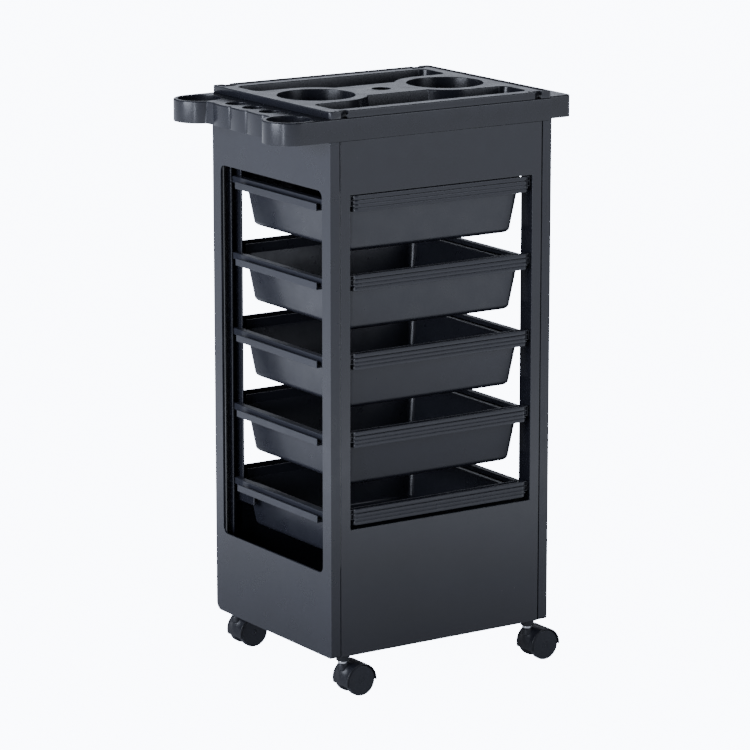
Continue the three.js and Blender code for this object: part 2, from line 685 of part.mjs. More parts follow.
/** The top frame: a skirt and shelf on the cabinet, with the tool deck and the handle deck. */
function topFrame() {
  const full = [CABINET_HEIGHT, TOP_FRAME_TOP];
  const hollow = [CABINET_HEIGHT - CUT, TOP_FRAME_TOP - WALL];
  const through = [CABINET_HEIGHT - CUT, TOP_FRAME_TOP + CUT];
  const skirt = block([-HALF_WIDTH, HALF_WIDTH], [-HALF_DEPTH, HALF_DEPTH], full);
  const hoops = hoopPlaces().map((place) => post(place, HOOP_RADIUS, full, ROUND_SEGMENTS));
  const outside = join([skirt, toolDeck(0, full), slabZ(handlePlan(0), full), ...hoops]);
  const handleVoid = slabZ(handlePlan(WALL), hollow).subtract(
    block([0, HALF_WIDTH], [-HALF_DEPTH, HALF_DEPTH], through),
  );
  const shell = cut(outside, [
    block([-INNER_X, INNER_X], [-INNER_Y, INNER_Y], hollow),
    toolDeck(WALL, hollow).subtract(block([-HALF_WIDTH, 0], [-HALF_DEPTH, HALF_DEPTH], through)),
    handleVoid,
  ]);
  const tubes = toolHolePlaces().map((place) => post(place, TOOL_HOLE_RADIUS + TOOL_HOLE_WALL, full));
  const bosses = screwPlaces().map((place) => post(place, BOSS_RADIUS, full));
  const body = join([shell, ...hoops, ...tubes, ...bosses, slabZ(slotPlan(WALL), full)]);
  const well = block(
    [SHELF_REACH_X - HALF_WIDTH, HALF_WIDTH - SHELF_REACH_X],
    [SHELF_REACH_Y - HALF_DEPTH, HALF_DEPTH - SHELF_REACH_Y],
    through,
  );
  const pilots = [CABINET_HEIGHT - CUT, CABINET_HEIGHT + SCREW_LENGTH];
  return cut(body, [
    well,
    slabZ(slotPlan(0), through),
    ...hoopPlaces().map((place) => post(place, HOOP_BORE, through, ROUND_SEGMENTS)),
    ...toolHolePlaces().map((place) => post(place, TOOL_HOLE_RADIUS, through)),
    ...screwHoles(pilots),
  ]);
}

/** Half of a trough's inner edge, from the middle outwards: the waist, then an arc round the bowl. */
function troughEdge(arcRadius) {
  const waistX = BOWL_REACH - Math.sqrt(arcRadius ** 2 - TROUGH_WAIST ** 2);
  const startAngle = Math.atan2(-TROUGH_WAIST, waistX - BOWL_REACH) + 2 * Math.PI;
  const endAngle = Math.PI * 1.5;
  const steps = 2 * CORNER_SEGMENTS;
  return Array.from({ length: steps + 1 }, (unused, index) => {
    const angle = startAngle + ((endAngle - startAngle) * index) / steps;
    return [BOWL_REACH + arcRadius * Math.cos(angle), arcRadius * Math.sin(angle)];
  });
}

/** The front trough's plan, grown by a margin. */
function troughPlan(margin) {
  const arcRadius = BOWL_RADIUS + TROUGH_BAND - margin;
  const endX = HALF_WIDTH - TROUGH_END_MARGIN + margin;
  const outerY = TROUGH_SIDE_MARGIN - HALF_DEPTH - margin;
  const chamfer = TROUGH_CORNER + margin;
  const inner = troughEdge(arcRadius);
  const rightEdge = [...inner, [endX - chamfer, -arcRadius]];
  const corner = [
    [endX, -arcRadius - chamfer],
    [endX, outerY + chamfer],
    [endX - chamfer, outerY],
  ];
  const right = [...rightEdge, ...corner];
  const left = right.map(([x, y]) => [-x, y]).reverse();
  return polygon([...left, ...right].reverse());
}

/** The tool tray: rim, web, two bowls and two troughs in one moulding. */
function toolTray() {
  const rimFoot = TOP_FRAME_TOP + TOUCH_GAP;
  const webFoot = TRAY_TOP - TRAY_WEB;
  const slab = block([-HALF_WIDTH, HALF_WIDTH], [-HALF_DEPTH, HALF_DEPTH], [rimFoot, TRAY_TOP]);
  const under = block([-INNER_X, INNER_X], [-INNER_Y, INNER_Y], [rimFoot - CUT, webFoot]);
  const bowlFoot = TRAY_TOP - BOWL_DEPTH;
  const troughFoot = TRAY_TOP - TROUGH_DEPTH;
  const bowlAt = Object.values(SIDES).map((side) => [side * BOWL_REACH, 0]);
  const bowls = bowlAt.map((place) =>
    post(place, BOWL_RADIUS + TRAY_WALL, [bowlFoot - TRAY_WALL, TRAY_TOP], ROUND_SEGMENTS),
  );
  const trough = slabZ(troughPlan(TRAY_WALL), [troughFoot - TRAY_WALL, TRAY_TOP]);
  const body = join([cut(slab, [under]), ...bowls, trough, halfTurn(trough)]);
  const well = slabZ(troughPlan(0), [troughFoot, TRAY_TOP + CUT]);
  const notches = [];
  atEachCorner((x, y) => {
    const notchX = [x * NOTCH_REACH - NOTCH_WIDTH / 2, x * NOTCH_REACH + NOTCH_WIDTH / 2];
    const notchY = [y * (HALF_DEPTH - NOTCH_DEPTH), y * (HALF_DEPTH + CUT)];
    notches.push(block(notchX, notchY, [rimFoot - CUT, TRAY_TOP + CUT]));
  });
  return cut(body, [
    ...bowlAt.map((place) => post(place, BOWL_RADIUS, [bowlFoot, TRAY_TOP + CUT], ROUND_SEGMENTS)),
    well,
    halfTurn(well),
    post([0, 0], CENTRE_HOLE_RADIUS, [webFoot - CUT, TRAY_TOP + CUT]),
    ...notches,
  ]);
}

/** A pan-head screw that points up, with the top of its head at z = 0. */
function screw() {
  return turned(
    [
      [0, -SCREW_HEAD_HEIGHT],
      [SCREW_CROWN_RADIUS, -SCREW_HEAD_HEIGHT],
      [SCREW_HEAD_RADIUS, -SCREW_HEAD_HEIGHT / 2],
      [SCREW_HEAD_RADIUS, 0],
      [SCREW_RADIUS, 0],
      [SCREW_RADIUS, SCREW_LENGTH],
      [0, SCREW_LENGTH],
    ],
    SCREW_SEGMENTS,
  );
}

addPiece(cabinet, "left_end_panel", endPanel(SIDES.left), panelPlastic);
addPiece(cabinet, "right_end_panel", endPanel(SIDES.right), panelPlastic);
addPiece(cabinet, "front_frame", frontFrame(), panelPlastic);
addPiece(cabinet, "rear_frame", halfTurn(frontFrame()), panelPlastic);
addPiece(cabinet, "base_plate", basePlate(), darkPlastic);
addPiece(cabinet, "top_frame", topFrame(), darkPlastic);
addPiece(cabinet, "tool_tray", toolTray(), darkPlastic);

for (let row = 0; row < DRAWER_COUNT; row += 1) {
  const place = [0, 0, FIRST_STRIP_TOP - row * DRAWER_PITCH];
  const number = row + 1;
  addPiece(cabinet, `drawer_${number}`, drawer(), drawerPlastic, place);
  addPiece(cabinet, `runner_rail_${number}_left`, halfTurn(runnerRail()), darkPlastic, place);
  addPiece(cabinet, `runner_rail_${number}_right`, runnerRail(), darkPlastic, place);
}

atEachCorner(addCaster);

const screwHeads = { base_screw: -TOUCH_GAP, top_screw: WALL_TOP - WALL - TOUCH_GAP };
for (const [name, height] of Object.entries(screwHeads))
  screwPlaces().forEach(([x, y], index) =>
    addPiece(cabinet, `${name}_${index + 1}`, screw(), steel, [x, y, height]),
  );

export default trolley;
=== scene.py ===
"""Looks of a rolling salon trolley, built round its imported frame.

Shapes are worked out in millimetres in the cabinet's own frame: x to the right and y to the rear of the
middle of its plan, z up from its underside. A mesh becomes metres in the row's frame when it is finished.
"""

import json
import logging
from dataclasses import dataclass, field
from enum import Enum
from functools import lru_cache

import bmesh
import bpy
import numpy as np
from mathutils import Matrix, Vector
from mathutils.geometry import delaunay_2d_cdt

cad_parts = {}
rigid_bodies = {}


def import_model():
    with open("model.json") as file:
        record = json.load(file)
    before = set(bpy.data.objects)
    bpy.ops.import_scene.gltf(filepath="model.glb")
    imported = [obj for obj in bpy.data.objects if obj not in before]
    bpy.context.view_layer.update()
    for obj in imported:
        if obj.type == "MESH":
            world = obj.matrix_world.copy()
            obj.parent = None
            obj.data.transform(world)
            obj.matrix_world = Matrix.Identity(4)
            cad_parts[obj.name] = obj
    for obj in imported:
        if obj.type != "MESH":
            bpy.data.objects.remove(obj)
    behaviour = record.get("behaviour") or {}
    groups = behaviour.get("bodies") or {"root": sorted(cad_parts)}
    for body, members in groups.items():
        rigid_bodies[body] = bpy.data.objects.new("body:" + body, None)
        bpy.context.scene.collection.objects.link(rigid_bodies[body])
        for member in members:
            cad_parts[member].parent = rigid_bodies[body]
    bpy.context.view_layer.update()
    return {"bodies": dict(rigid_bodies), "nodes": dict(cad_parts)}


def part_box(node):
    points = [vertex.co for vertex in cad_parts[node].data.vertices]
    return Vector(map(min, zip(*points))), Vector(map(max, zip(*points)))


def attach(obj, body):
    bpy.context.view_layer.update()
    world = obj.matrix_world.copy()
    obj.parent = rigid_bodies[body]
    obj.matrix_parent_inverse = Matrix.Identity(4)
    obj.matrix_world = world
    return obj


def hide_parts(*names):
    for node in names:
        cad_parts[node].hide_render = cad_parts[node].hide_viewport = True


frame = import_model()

LOG = logging.getLogger("trolley")
MM = 0.001
WELD = 1e-6
SHARP_ANGLE = 42
FINE_TURN = 96
PLAIN_TURN = 48
SIDES = {"left": -1, "right": 1}
ENDS = {"front": -1, "rear": 1}
Array = np.ndarray
Socket = bpy.types.NodeSocket


# ---------------------------------------------------------------------------------------------------------
# Outlines and profiles
# ---------------------------------------------------------------------------------------------------------


class Facing(Enum):
    """Which axes an outline's two directions and its thickness lie along."""

    UP = (0, 1, 2)
    SIDE = (1, 2, 0)
    FRONT = (0, 2, 1)


def arc(centre: tuple[float, float], radius: float, start: float, end: float, steps: int) -> Array:
    """Points round an arc: the centre plus the radius times (cos a, sin a), a in equal steps.

    Args:
        centre: Middle of the arc.
        radius: Its radius.
        start: First angle, in degrees.
        end: Last angle, in degrees.
        steps: Number of steps between them.

    Returns:
        (steps + 1, 2) points.
    """
    angle = np.radians(np.linspace(start, end, steps + 1))
    return np.array(centre) + radius * np.column_stack([np.cos(angle), np.sin(angle)])


def ring(centre: tuple[float, float], radius: float, count: int = 72) -> Array:
    """A full circle of points, anticlockwise."""
    return arc(centre, radius, 0, 360, count)[:-1]


def rounded_box(low: tuple[float, float], high: tuple[float, float], radius: float, steps: int = 8) -> Array:
    """An anticlockwise rectangle whose corners are quarter circles.

    Args:
        low: Its lowest corner.
        high: Its highest corner.
        radius: The corner radius.
        steps: Steps round each corner.

    Returns:
        (4 * (steps + 1), 2) points.
    """
    near, far = np.array(low) + radius, np.array(high) - radius
    corners = [((far[0], near[1]), -90), (far, 0), ((near[0], far[1]), 90), (near, 180)]
    return np.concatenate([arc(centre, radius, start, start + 90, steps) for centre, start in corners])


def soften(corners: Array, radius: float | Array, steps: int = 4) -> Array:
    """Rounds the corners of a closed outline.

    Each corner V becomes the parabola (1 - t)^2 A + 2 t (1 - t) V + t^2 B, which is tangent to both of its
    edges: A and B lie on them, one radius from V.

    Args:
        corners: (n, 2) corners.
        radius: One radius, or one for each corner.
        steps: Steps round each corner.

    Returns:
        (n * (steps + 1), 2) points.
    """
    corners = np.asarray(corners, float)
    reach = np.broadcast_to(np.asarray(radius, float), len(corners))[:, None]
    back, ahead = np.roll(corners, 1, 0) - corners, np.roll(corners, -1, 0) - corners
    start = corners + reach * back / np.linalg.norm(back, axis=1, keepdims=True)
    end = corners + reach * ahead / np.linalg.norm(ahead, axis=1, keepdims=True)
    t = np.linspace(0, 1, steps + 1)[None, :, None]
    points = (1 - t) ** 2 * start[:, None] + 2 * t * (1 - t) * corners[:, None] + t**2 * end[:, None]
    return points.reshape(-1, 2)


def mitres(path: Array, closed: bool = True) -> Array:
    """Outward mitre at each point of a path: (n0 + n1) / (1 + n0 . n1).

    n0 and n1 are the normals of the edges that meet at the point, to the right of the way along the path.

    Args:
        path: (n, 2) points, anticlockwise where it is closed.
        closed: Whether the last point joins the first.

    Returns:
        (n, 2) vectors that move each point out by one unit.
    """
    edge = np.roll(path, -1, 0) - path
    normal = np.column_stack([edge[:, 1], -edge[:, 0]])
    if not closed:
        normal[-1] = normal[-2]
    normal /= np.linalg.norm(normal, axis=1, keepdims=True)
    before = np.roll(normal, 1, 0)
    if not closed:
        before[0] = normal[0]
    return (normal + before) / (1 + (normal * before).sum(1, keepdims=True))


def grow(outline: Array, distance: float) -> Array:
    """A closed outline moved outwards by a distance along its mitres."""
    return outline + distance * mitres(outline)


def bend(centre: tuple[float, float], radius: float, start: float, end: float, rub: float = 1.0) -> Array:
    """A bend of a profile, whose inner points carry a rub value for the finish.

    Args:
        centre: Middle of the bend, as (offset, level).
        radius: Its radius.
        start: First angle, in degrees.
        end: Last angle, in degrees.
        rub: How much handling has burnished it, from 0 to 1.

    Returns:
        (4, 3) points of offset, level and rub.
    """
    points = arc(centre, radius, start, end, 3)
    return np.column_stack([points, [0, rub, rub, 0]])


def straight(*points: tuple[float, float]) -> Array:
    """A straight stretch of a profile through (offset, level) points, with no rub."""
    return np.column_stack([np.array(points, float), np.zeros(len(points))])


def profile(*parts: Array) -> Array:
    """One profile made of bends and straights, in order."""
    return np.concatenate(parts)


# ---------------------------------------------------------------------------------------------------------
# The frame's own sizes
# ---------------------------------------------------------------------------------------------------------


def cabinet_origin() -> Array:
    """The middle of the base plate's underside, in metres."""
    low, high = (np.array(corner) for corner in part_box("base_plate"))
    return np.array([(low[0] + high[0]) / 2, (low[1] + high[1]) / 2, low[2]])


ORIGIN = cabinet_origin()


@dataclass(frozen=True)
class Box:
    """The box of a CAD node, in millimetres in the cabinet's frame."""

    low: Array
    high: Array

    @classmethod
    def of(cls, node: str) -> "Box":
        """The box of a node at rest."""
        low, high = ((np.array(corner) - ORIGIN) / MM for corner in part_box(node))
        return cls(low, high)

    @property
    def middle(self) -> Array:
        """The box's middle."""
        return (self.low + self.high) / 2

    @property
    def half(self) -> Array:
        """Half its size."""
        return (self.high - self.low) / 2


# ---------------------------------------------------------------------------------------------------------
# Finishes
# ---------------------------------------------------------------------------------------------------------


@dataclass(frozen=True)
class Finish:
    """A moulded plastic or bright metal finish.

    The colour drifts gently over the piece, the gloss comes and goes with handling, a fine spark-eroded
    grain stands in relief, and rubbed edges are paler in patches.
    """

    name: str
    slot: str
    colour: tuple[float, float, float]
    roughness: float
    drift: float = 0.14
    gloss_play: float = 0.06
    grain_size: float = 0.9
    grain_depth: float = 0.003
    wave_depth: float = 0.04
    rub: float = 0.5
    metallic: float = 0.0
    coat: float = 0.0
    coat_roughness: float = 0.12
    drift_cells: float = 5.5
    handling_cells: float = 38.0
    wave_cells: float = 14.0
    drift_range: tuple[float, float] = (0.3, 0.7)
    handling_range: tuple[float, float] = (0.25, 0.75)
    rub_lift: float = 0.02

    @lru_cache(maxsize=None)
    def material(self) -> bpy.types.Material:
        """The finish as a node material on Object coordinates."""
        made = bpy.data.materials.new(self.name)
        made.use_nodes = True
        tree = made.node_tree
        shader = tree.nodes["Principled BSDF"]
        shader.inputs["Metallic"].default_value = self.metallic
        shader.inputs["Coat Weight"].default_value = self.coat
        shader.inputs["Coat Roughness"].default_value = self.coat_roughness
        place = tree.nodes.new("ShaderNodeTexCoord").outputs["Object"]
        broad = self.noise(tree, place, self.drift_cells, detail=3.0)
        handling = self.noise(tree, place, self.handling_cells, detail=4.0)
        grain = self.noise(tree, place, 1 / (self.grain_size * MM), detail=2.0)
        wave = self.noise(tree, place, self.wave_cells, detail=1.0)
        tree.links.new(self.tint(tree, broad, handling), shader.inputs["Base Color"])
        tree.links.new(self.gloss(tree, handling), shader.inputs["Roughness"])
        ripple = self.relief(tree, wave, self.wave_depth, None)
        tree.links.new(self.relief(tree, grain, self.grain_depth, ripple), shader.inputs["Normal"])
        return made

    @staticmethod
    def noise(tree: bpy.types.NodeTree, place: Socket, scale: float, detail: float) -> Socket:
        """A noise pattern.

        Args:
            tree: The node tree it joins.
            place: Where the pattern is read.
            scale: Pattern cells per metre.
            detail: Octaves.

        Returns:
            The noise's value, from 0 to 1.
        """
        node = tree.nodes.new("ShaderNodeTexNoise")
        node.inputs["Scale"].default_value = scale
        node.inputs["Detail"].default_value = detail
        tree.links.new(place, node.inputs["Vector"])
        return node.outputs["Fac"]

    def tint(self, tree: bpy.types.NodeTree, broad: Socket, handling: Socket) -> Socket:
        """The colour: it drifts with the broad noise, and rubbed edges go paler in patches.

        Args:
            tree: The node tree it joins.
            broad: A broad noise value.
            handling: A finer noise value.

        Returns:
            The colour.
        """
        drift = tree.nodes.new("ShaderNodeValToRGB")
        for step, position, sign in zip(drift.color_ramp.elements, self.drift_range, (-1, 1)):
            step.position = position
            step.color = (*(c * (1 + sign * self.drift) for c in self.colour), 1)
        tree.links.new(broad, drift.inputs["Fac"])
        rubbed = tree.nodes.new("ShaderNodeAttribute")
        rubbed.attribute_name = "rub"
        amount = tree.nodes.new("ShaderNodeMath")
        amount.operation = "MULTIPLY"
        tree.links.new(rubbed.outputs["Fac"], amount.inputs[0])
        tree.links.new(handling, amount.inputs[1])
        mix = tree.nodes.new("ShaderNodeMix")
        mix.data_type = "RGBA"
        paler = (min(1, c * (1 + self.rub) + self.rub_lift * self.rub) for c in self.colour)
        mix.inputs["B"].default_value = (*paler, 1)
        tree.links.new(amount.outputs[0], mix.inputs["Factor"])
        tree.links.new(drift.outputs["Color"], mix.inputs["A"])
        return mix.outputs["Result"]

    def gloss(self, tree: bpy.types.NodeTree, handling: Socket) -> Socket:
        """The roughness, which plays either side of its middle value with a noise value."""
        spread = tree.nodes.new("ShaderNodeMapRange")
        spread.inputs["From Min"].default_value = self.handling_range[0]
        spread.inputs["From Max"].default_value = self.handling_range[1]
        spread.inputs["To Min"].default_value = self.roughness - self.gloss_play
        spread.inputs["To Max"].default_value = self.roughness + self.gloss_play
        tree.links.new(handling, spread.inputs["Value"])
        return spread.outputs["Result"]

    @staticmethod
    def relief(tree: bpy.types.NodeTree, height: Socket, depth: float, under: Socket | None) -> Socket:
        """A relief from a height pattern.

        Args:
            tree: The node tree it joins.
            height: The pattern, from 0 to 1.
            depth: Its depth in millimetres.
            under: A relief that it lies on, if any.

        Returns:
            The bumped normal.
        """
        bump = tree.nodes.new("ShaderNodeBump")
        bump.inputs["Distance"].default_value = depth * MM
        tree.links.new(height, bump.inputs["Height"])
        if under is not None:
            tree.links.new(under, bump.inputs["Normal"])
        return bump.outputs["Normal"]


PANEL = Finish("satin_panel", "panel_plastic", (0.0250, 0.0270, 0.0365), 0.30, coat=0.2)
FRAME = Finish("polished_frame", "frame_plastic", (0.0215, 0.0230, 0.0315), 0.22, wave_depth=0.10, coat=0.35)
TRAY = Finish("satin_tray", "tray_plastic", (0.0180, 0.0195, 0.0270), 0.27, coat=0.2)
DRAWER = Finish("satin_drawer", "drawer_plastic", (0.0250, 0.0270, 0.0365), 0.31, coat=0.15)
RAIL = Finish("rail_nylon", "rail_plastic", (0.0300, 0.0325, 0.0430), 0.36)
CASTER = Finish("caster_nylon", "caster_plastic", (0.0150, 0.0162, 0.0215), 0.36, grain_depth=0.006)
WHEEL = Finish("wheel_nylon", "wheel_plastic", (0.0300, 0.0325, 0.0420), 0.45, grain_depth=0.008)
CHROME = Finish(
    "bright_chrome", "chrome", (0.80, 0.81, 0.83), 0.10,
    drift=0.03, gloss_play=0.04, grain_depth=0.0005, metallic=1.0,
)
STEEL = Finish(
    "plain_steel", "steel", (0.42, 0.43, 0.45), 0.34, drift=0.10, grain_depth=0.002, metallic=1.0
)


# ---------------------------------------------------------------------------------------------------------
# Skins: surfaces worked out as grids
# ---------------------------------------------------------------------------------------------------------


@dataclass
class Skin:
    """The surfaces of one piece, collected as grids and flat fills.

    What is added follows the facing and the signs of the moment: the signs mirror or half-turn it.
    """

    facing: Facing = Facing.UP
    signs: tuple[int, int, int] = (1, 1, 1)
    points: list[Array] = field(default_factory=list)
    rubs: list[Array] = field(default_factory=list)
    faces: list[Array] = field(default_factory=list)
    count: int = 0

    def lift(self, outline: Array, level: Array | float) -> Array:
        """Puts (..., 2) outline points at a level along the facing's third axis."""
        lifted = np.empty((*outline.shape[:-1], 3))
        first, second, third = self.facing.value
        lifted[..., first], lifted[..., second], lifted[..., third] = outline[..., 0], outline[..., 1], level
        return lifted

    def add(self, points: Array, rub: Array, faces: Array) -> None:
        """Adds (n, 3) points, their rub and faces that index them."""
        self.points.append(points * self.signs)
        self.rubs.append(np.broadcast_to(rub, len(points)).astype(float))
        self.faces.append(faces + self.count)
        self.count += len(points)

    def grid(self, rows: Array, rub: Array | float = 0.0, closed: bool = True) -> None:
        """Joins rows of points with quads, point by point.

        Args:
            rows: (r, n, 3) points.
            rub: One rub value, or one for each row.
            closed: Whether each row's last point joins its first.
        """
        height, width = rows.shape[:2]
        index = np.arange(height * width).reshape(height, width)
        left = index if closed else index[:, :-1]
        right = np.roll(index, -1, 1) if closed else index[:, 1:]
        quads = np.stack([left[:-1], right[:-1], right[1:], left[1:]], -1).reshape(-1, 4)
        spread = np.repeat(np.broadcast_to(rub, height), width)
        self.add(rows.reshape(-1, 3), spread, quads)

    def carry(self, path: Array, section: Array, closed: bool = True) -> None:
        """Carries a profile round a path: each path point plus its mitre times the offset, at the level.

        Args:
            path: (n, 2) points.
            section: (m, 3) offsets, levels and rubs.
            closed: Whether the path is closed.
        """
        out = mitres(path, closed)
        rows = path[None] + section[:, None, :1] * out[None]
        self.grid(self.lift(rows, section[:, 1:2]), section[:, 2], closed)

    def fill(self, outline: Array, holes: list[Array], level: float) -> None:
        """Fills the flat region between an outline and its holes with triangles.

        Args:
            outline: (n, 2) points round the outside.
            holes: Outlines of the holes.
            level: Where the flat lies along the facing's third axis.
        """
        loops = [outline, *holes]
        ends = np.cumsum([len(loop) for loop in loops])
        edges = []
        for loop, end in zip(loops, ends):
            index = np.arange(end - len(loop), end)
            edges += np.column_stack([index, np.roll(index, -1)]).tolist()
        flat = np.concatenate(loops)
        found, _, triangles, *_ = delaunay_2d_cdt([Vector(p) for p in flat.tolist()], edges, [], 1, WELD)
        corners = np.array([tuple(p) for p in found])
        triangles = np.array(triangles)
        centres = corners[triangles].mean(1)
        kept = ~np.any([inside(centres, hole) for hole in holes], axis=0) if holes else slice(None)
        self.add(self.lift(corners, level), 0.0, triangles[kept])

    def prism(self, outline: Array, holes: list[Array], levels: tuple[float, float], edge: float) -> None:
        """A closed slab with rounded edges: a wall round each outline and a fill at each face.

        Args:
            outline: (n, 2) anticlockwise outline.
            holes: Anticlockwise outlines of the holes.
            levels: Its low and high faces.
            edge: Radius of its edges.
        """
        low, high = levels
        section = profile(
            bend((-edge, low + edge), edge, -90, 0),
            bend((-edge, high - edge), edge, 0, 90),
        )
        self.carry(outline, section)
        for hole in holes:
            self.carry(hole, section * [-1, 1, 1])
        for level in levels:
            self.fill(grow(outline, -edge), [grow(hole, edge) for hole in holes], level)

    def turn(self, section: Array, centre: tuple[float, float], count: int = PLAIN_TURN) -> None:
        """A turned surface: each (radius, level) point goes round the centre.

        Args:
            section: (m, 3) radii, levels and rubs.
            centre: The axis, in the outline's plane.
            count: Points round each turn.
        """
        angle = np.linspace(0, 2 * np.pi, count, endpoint=False)
        circle = np.column_stack([np.cos(angle), np.sin(angle)])
        rows = np.array(centre) + section[:, None, :1] * circle[None]
        self.grid(self.lift(rows, section[:, 1:2]), section[:, 2])

    def cap(self, before: int, rows: int) -> None:
        """Closes both ends of the open grid of so many rows that was added last, from a point count on."""
        width = (self.count - before) // rows
        for start in (before, self.count - width):
            self.faces.append(np.arange(start, start + width)[None])

    def piece(self, name: str, finish: Finish, shift: Array | tuple = (0, 0, 0)) -> bpy.types.Object:
        """Makes the mesh: welded, faces outwards, in metres in the row's frame.

        Args:
            name: The piece's name.
            finish: Its finish.
            shift: Where its origin lies in the cabinet's frame, in millimetres.

        Returns:
            The new object, with its place in its mesh.
        """
        points = (np.concatenate(self.points) + np.array(shift)) * MM + ORIGIN
        sides = np.concatenate([np.full(len(faces), faces.shape[1]) for faces in self.faces])
        mesh = bpy.data.meshes.new(name)
        mesh.vertices.add(len(points))
        mesh.vertices.foreach_set("co", points.ravel())
        mesh.loops.add(int(sides.sum()))
        mesh.loops.foreach_set("vertex_index", np.concatenate([faces.ravel() for faces in self.faces]))
        mesh.polygons.add(len(sides))
        mesh.polygons.foreach_set("loop_start", np.cumsum(sides) - sides)
        mesh.update(calc_edges=True)
        mesh.attributes.new("rub", "FLOAT", "POINT").data.foreach_set("value", np.concatenate(self.rubs))
        return finished(mesh, name, finish)


def inside(points: Array, outline: Array) -> Array:
    """Whether points lie in an outline: a ray to the right crosses its edges an odd number of times.

    Args:
        points: (n, 2) points.
        outline: (m, 2) closed outline.

    Returns:
        n truth values.
    """
    start, end = outline[None], np.roll(outline, -1, 0)[None]
    x, y = points[:, None, 0], points[:, None, 1]
    spans = (start[..., 1] > y) != (end[..., 1] > y)
    rise = np.where(spans, end[..., 1] - start[..., 1], 1)
    cross = start[..., 0] + (y - start[..., 1]) * (end[..., 0] - start[..., 0]) / rise
    return (spans & (x < cross)).sum(1) % 2 == 1


def finished(mesh: bpy.types.Mesh, name: str, finish: Finish) -> bpy.types.Object:
    """Welds a mesh, turns its faces outwards, smooths it and gives it its finish.

    Args:
        mesh: The mesh.
        name: The object's name.
        finish: Its finish.

    Returns:
        The new object.
    """
    work = bmesh.new()
    work.from_mesh(mesh)
    bmesh.ops.remove_doubles(work, verts=work.verts, dist=WELD)
    bmesh.ops.dissolve_degenerate(work, edges=work.edges, dist=WELD)
    bmesh.ops.recalc_face_normals(work, faces=work.faces)
    work.to_mesh(mesh)
    work.free()
    mesh.shade_smooth()
    mesh.set_sharp_from_angle(angle=np.radians(SHARP_ANGLE))
    mesh.materials.append(finish.material())
    piece = bpy.data.objects.new(name, mesh)
    bpy.context.scene.collection.objects.link(piece)
    flats = piece.modifiers.new("flat_faces", "WEIGHTED_NORMAL")
    flats.keep_sharp = True
    return piece


def install(piece: bpy.types.Object, body: str, finish: Finish, *nodes: str) -> None:
    """Lets a piece ride on a body in place of CAD nodes, and reports it.

    Args:
        piece: The piece.
        body: The body it moves with.
        finish: Its finish; not used.
        nodes: The CAD nodes it stands for.
    """
    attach(piece, body)
    if nodes:
        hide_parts(*nodes)
    LOG.info("%s: %d faces, on %s", piece.name, len(piece.data.polygons), body)


# ---------------------------------------------------------------------------------------------------------
# Sub-assemblies
# ---------------------------------------------------------------------------------------------------------


@dataclass(frozen=True)
class MouldedShell:
    """An end panel or a frame: the CAD shape with moulded roundings on its edges."""

    edge: float = 1.0
    corner: float = 3.0
    sharp: float = 30.0
    flat: float = 2.0
    segments: int = 4
    snap: float = 0.1

    def build(self, node: str, finish: Finish) -> bpy.types.Object:
        """Makes a welded copy of a CAD node with rounded edges, the cabinet's upright corners rounder.

        Args:
            node: The CAD node.
            finish: Its finish.

        Returns:
            The new piece.
        """
        mesh = frame["nodes"][node].data.copy()
        mesh.materials.clear()
        work = bmesh.new()
        work.from_mesh(mesh)
        bmesh.ops.remove_doubles(work, verts=work.verts, dist=WELD)
        bmesh.ops.dissolve_limit(work, angle_limit=np.radians(self.flat), verts=work.verts, edges=work.edges)
        weight = work.edges.layers.float.new("bevel_weight_edge")
        for edge in work.edges:
            edge[weight] = self.share(edge) if edge.calc_face_angle(0) > np.radians(self.sharp) else 0
        work.to_mesh(mesh)
        work.free()
        piece = finished(mesh, f"{node}_moulded", finish)
        rounding = piece.modifiers.new("moulded_edges", "BEVEL")
        rounding.limit_method = "WEIGHT"
        rounding.offset_type = "OFFSET"
        rounding.width = self.corner * MM
        rounding.segments = self.segments
        rounding.use_clamp_overlap = True
        piece.modifiers.move(1, 0)
        return piece

    def share(self, edge: bmesh.types.BMEdge) -> float:
        """The part of the corner radius that an edge takes: all of it on an upright outer corner."""
        ends = (np.array([vertex.co for vertex in edge.verts]) - ORIGIN) / MM
        corner = Box.of("right_end_panel").high[:2]
        at_corner = np.all(np.abs(np.abs(ends[:, :2]) - corner) < self.snap)
        return 1.0 if at_corner else self.edge / self.corner

    def install(self) -> None:
        """Builds both end panels and both frames."""
        for node in ("left_end_panel", "right_end_panel"):
            install(self.build(node, PANEL), "cabinet", PANEL, node)
        for node in ("front_frame", "rear_frame"):
            install(self.build(node, FRAME), "cabinet", FRAME, node)


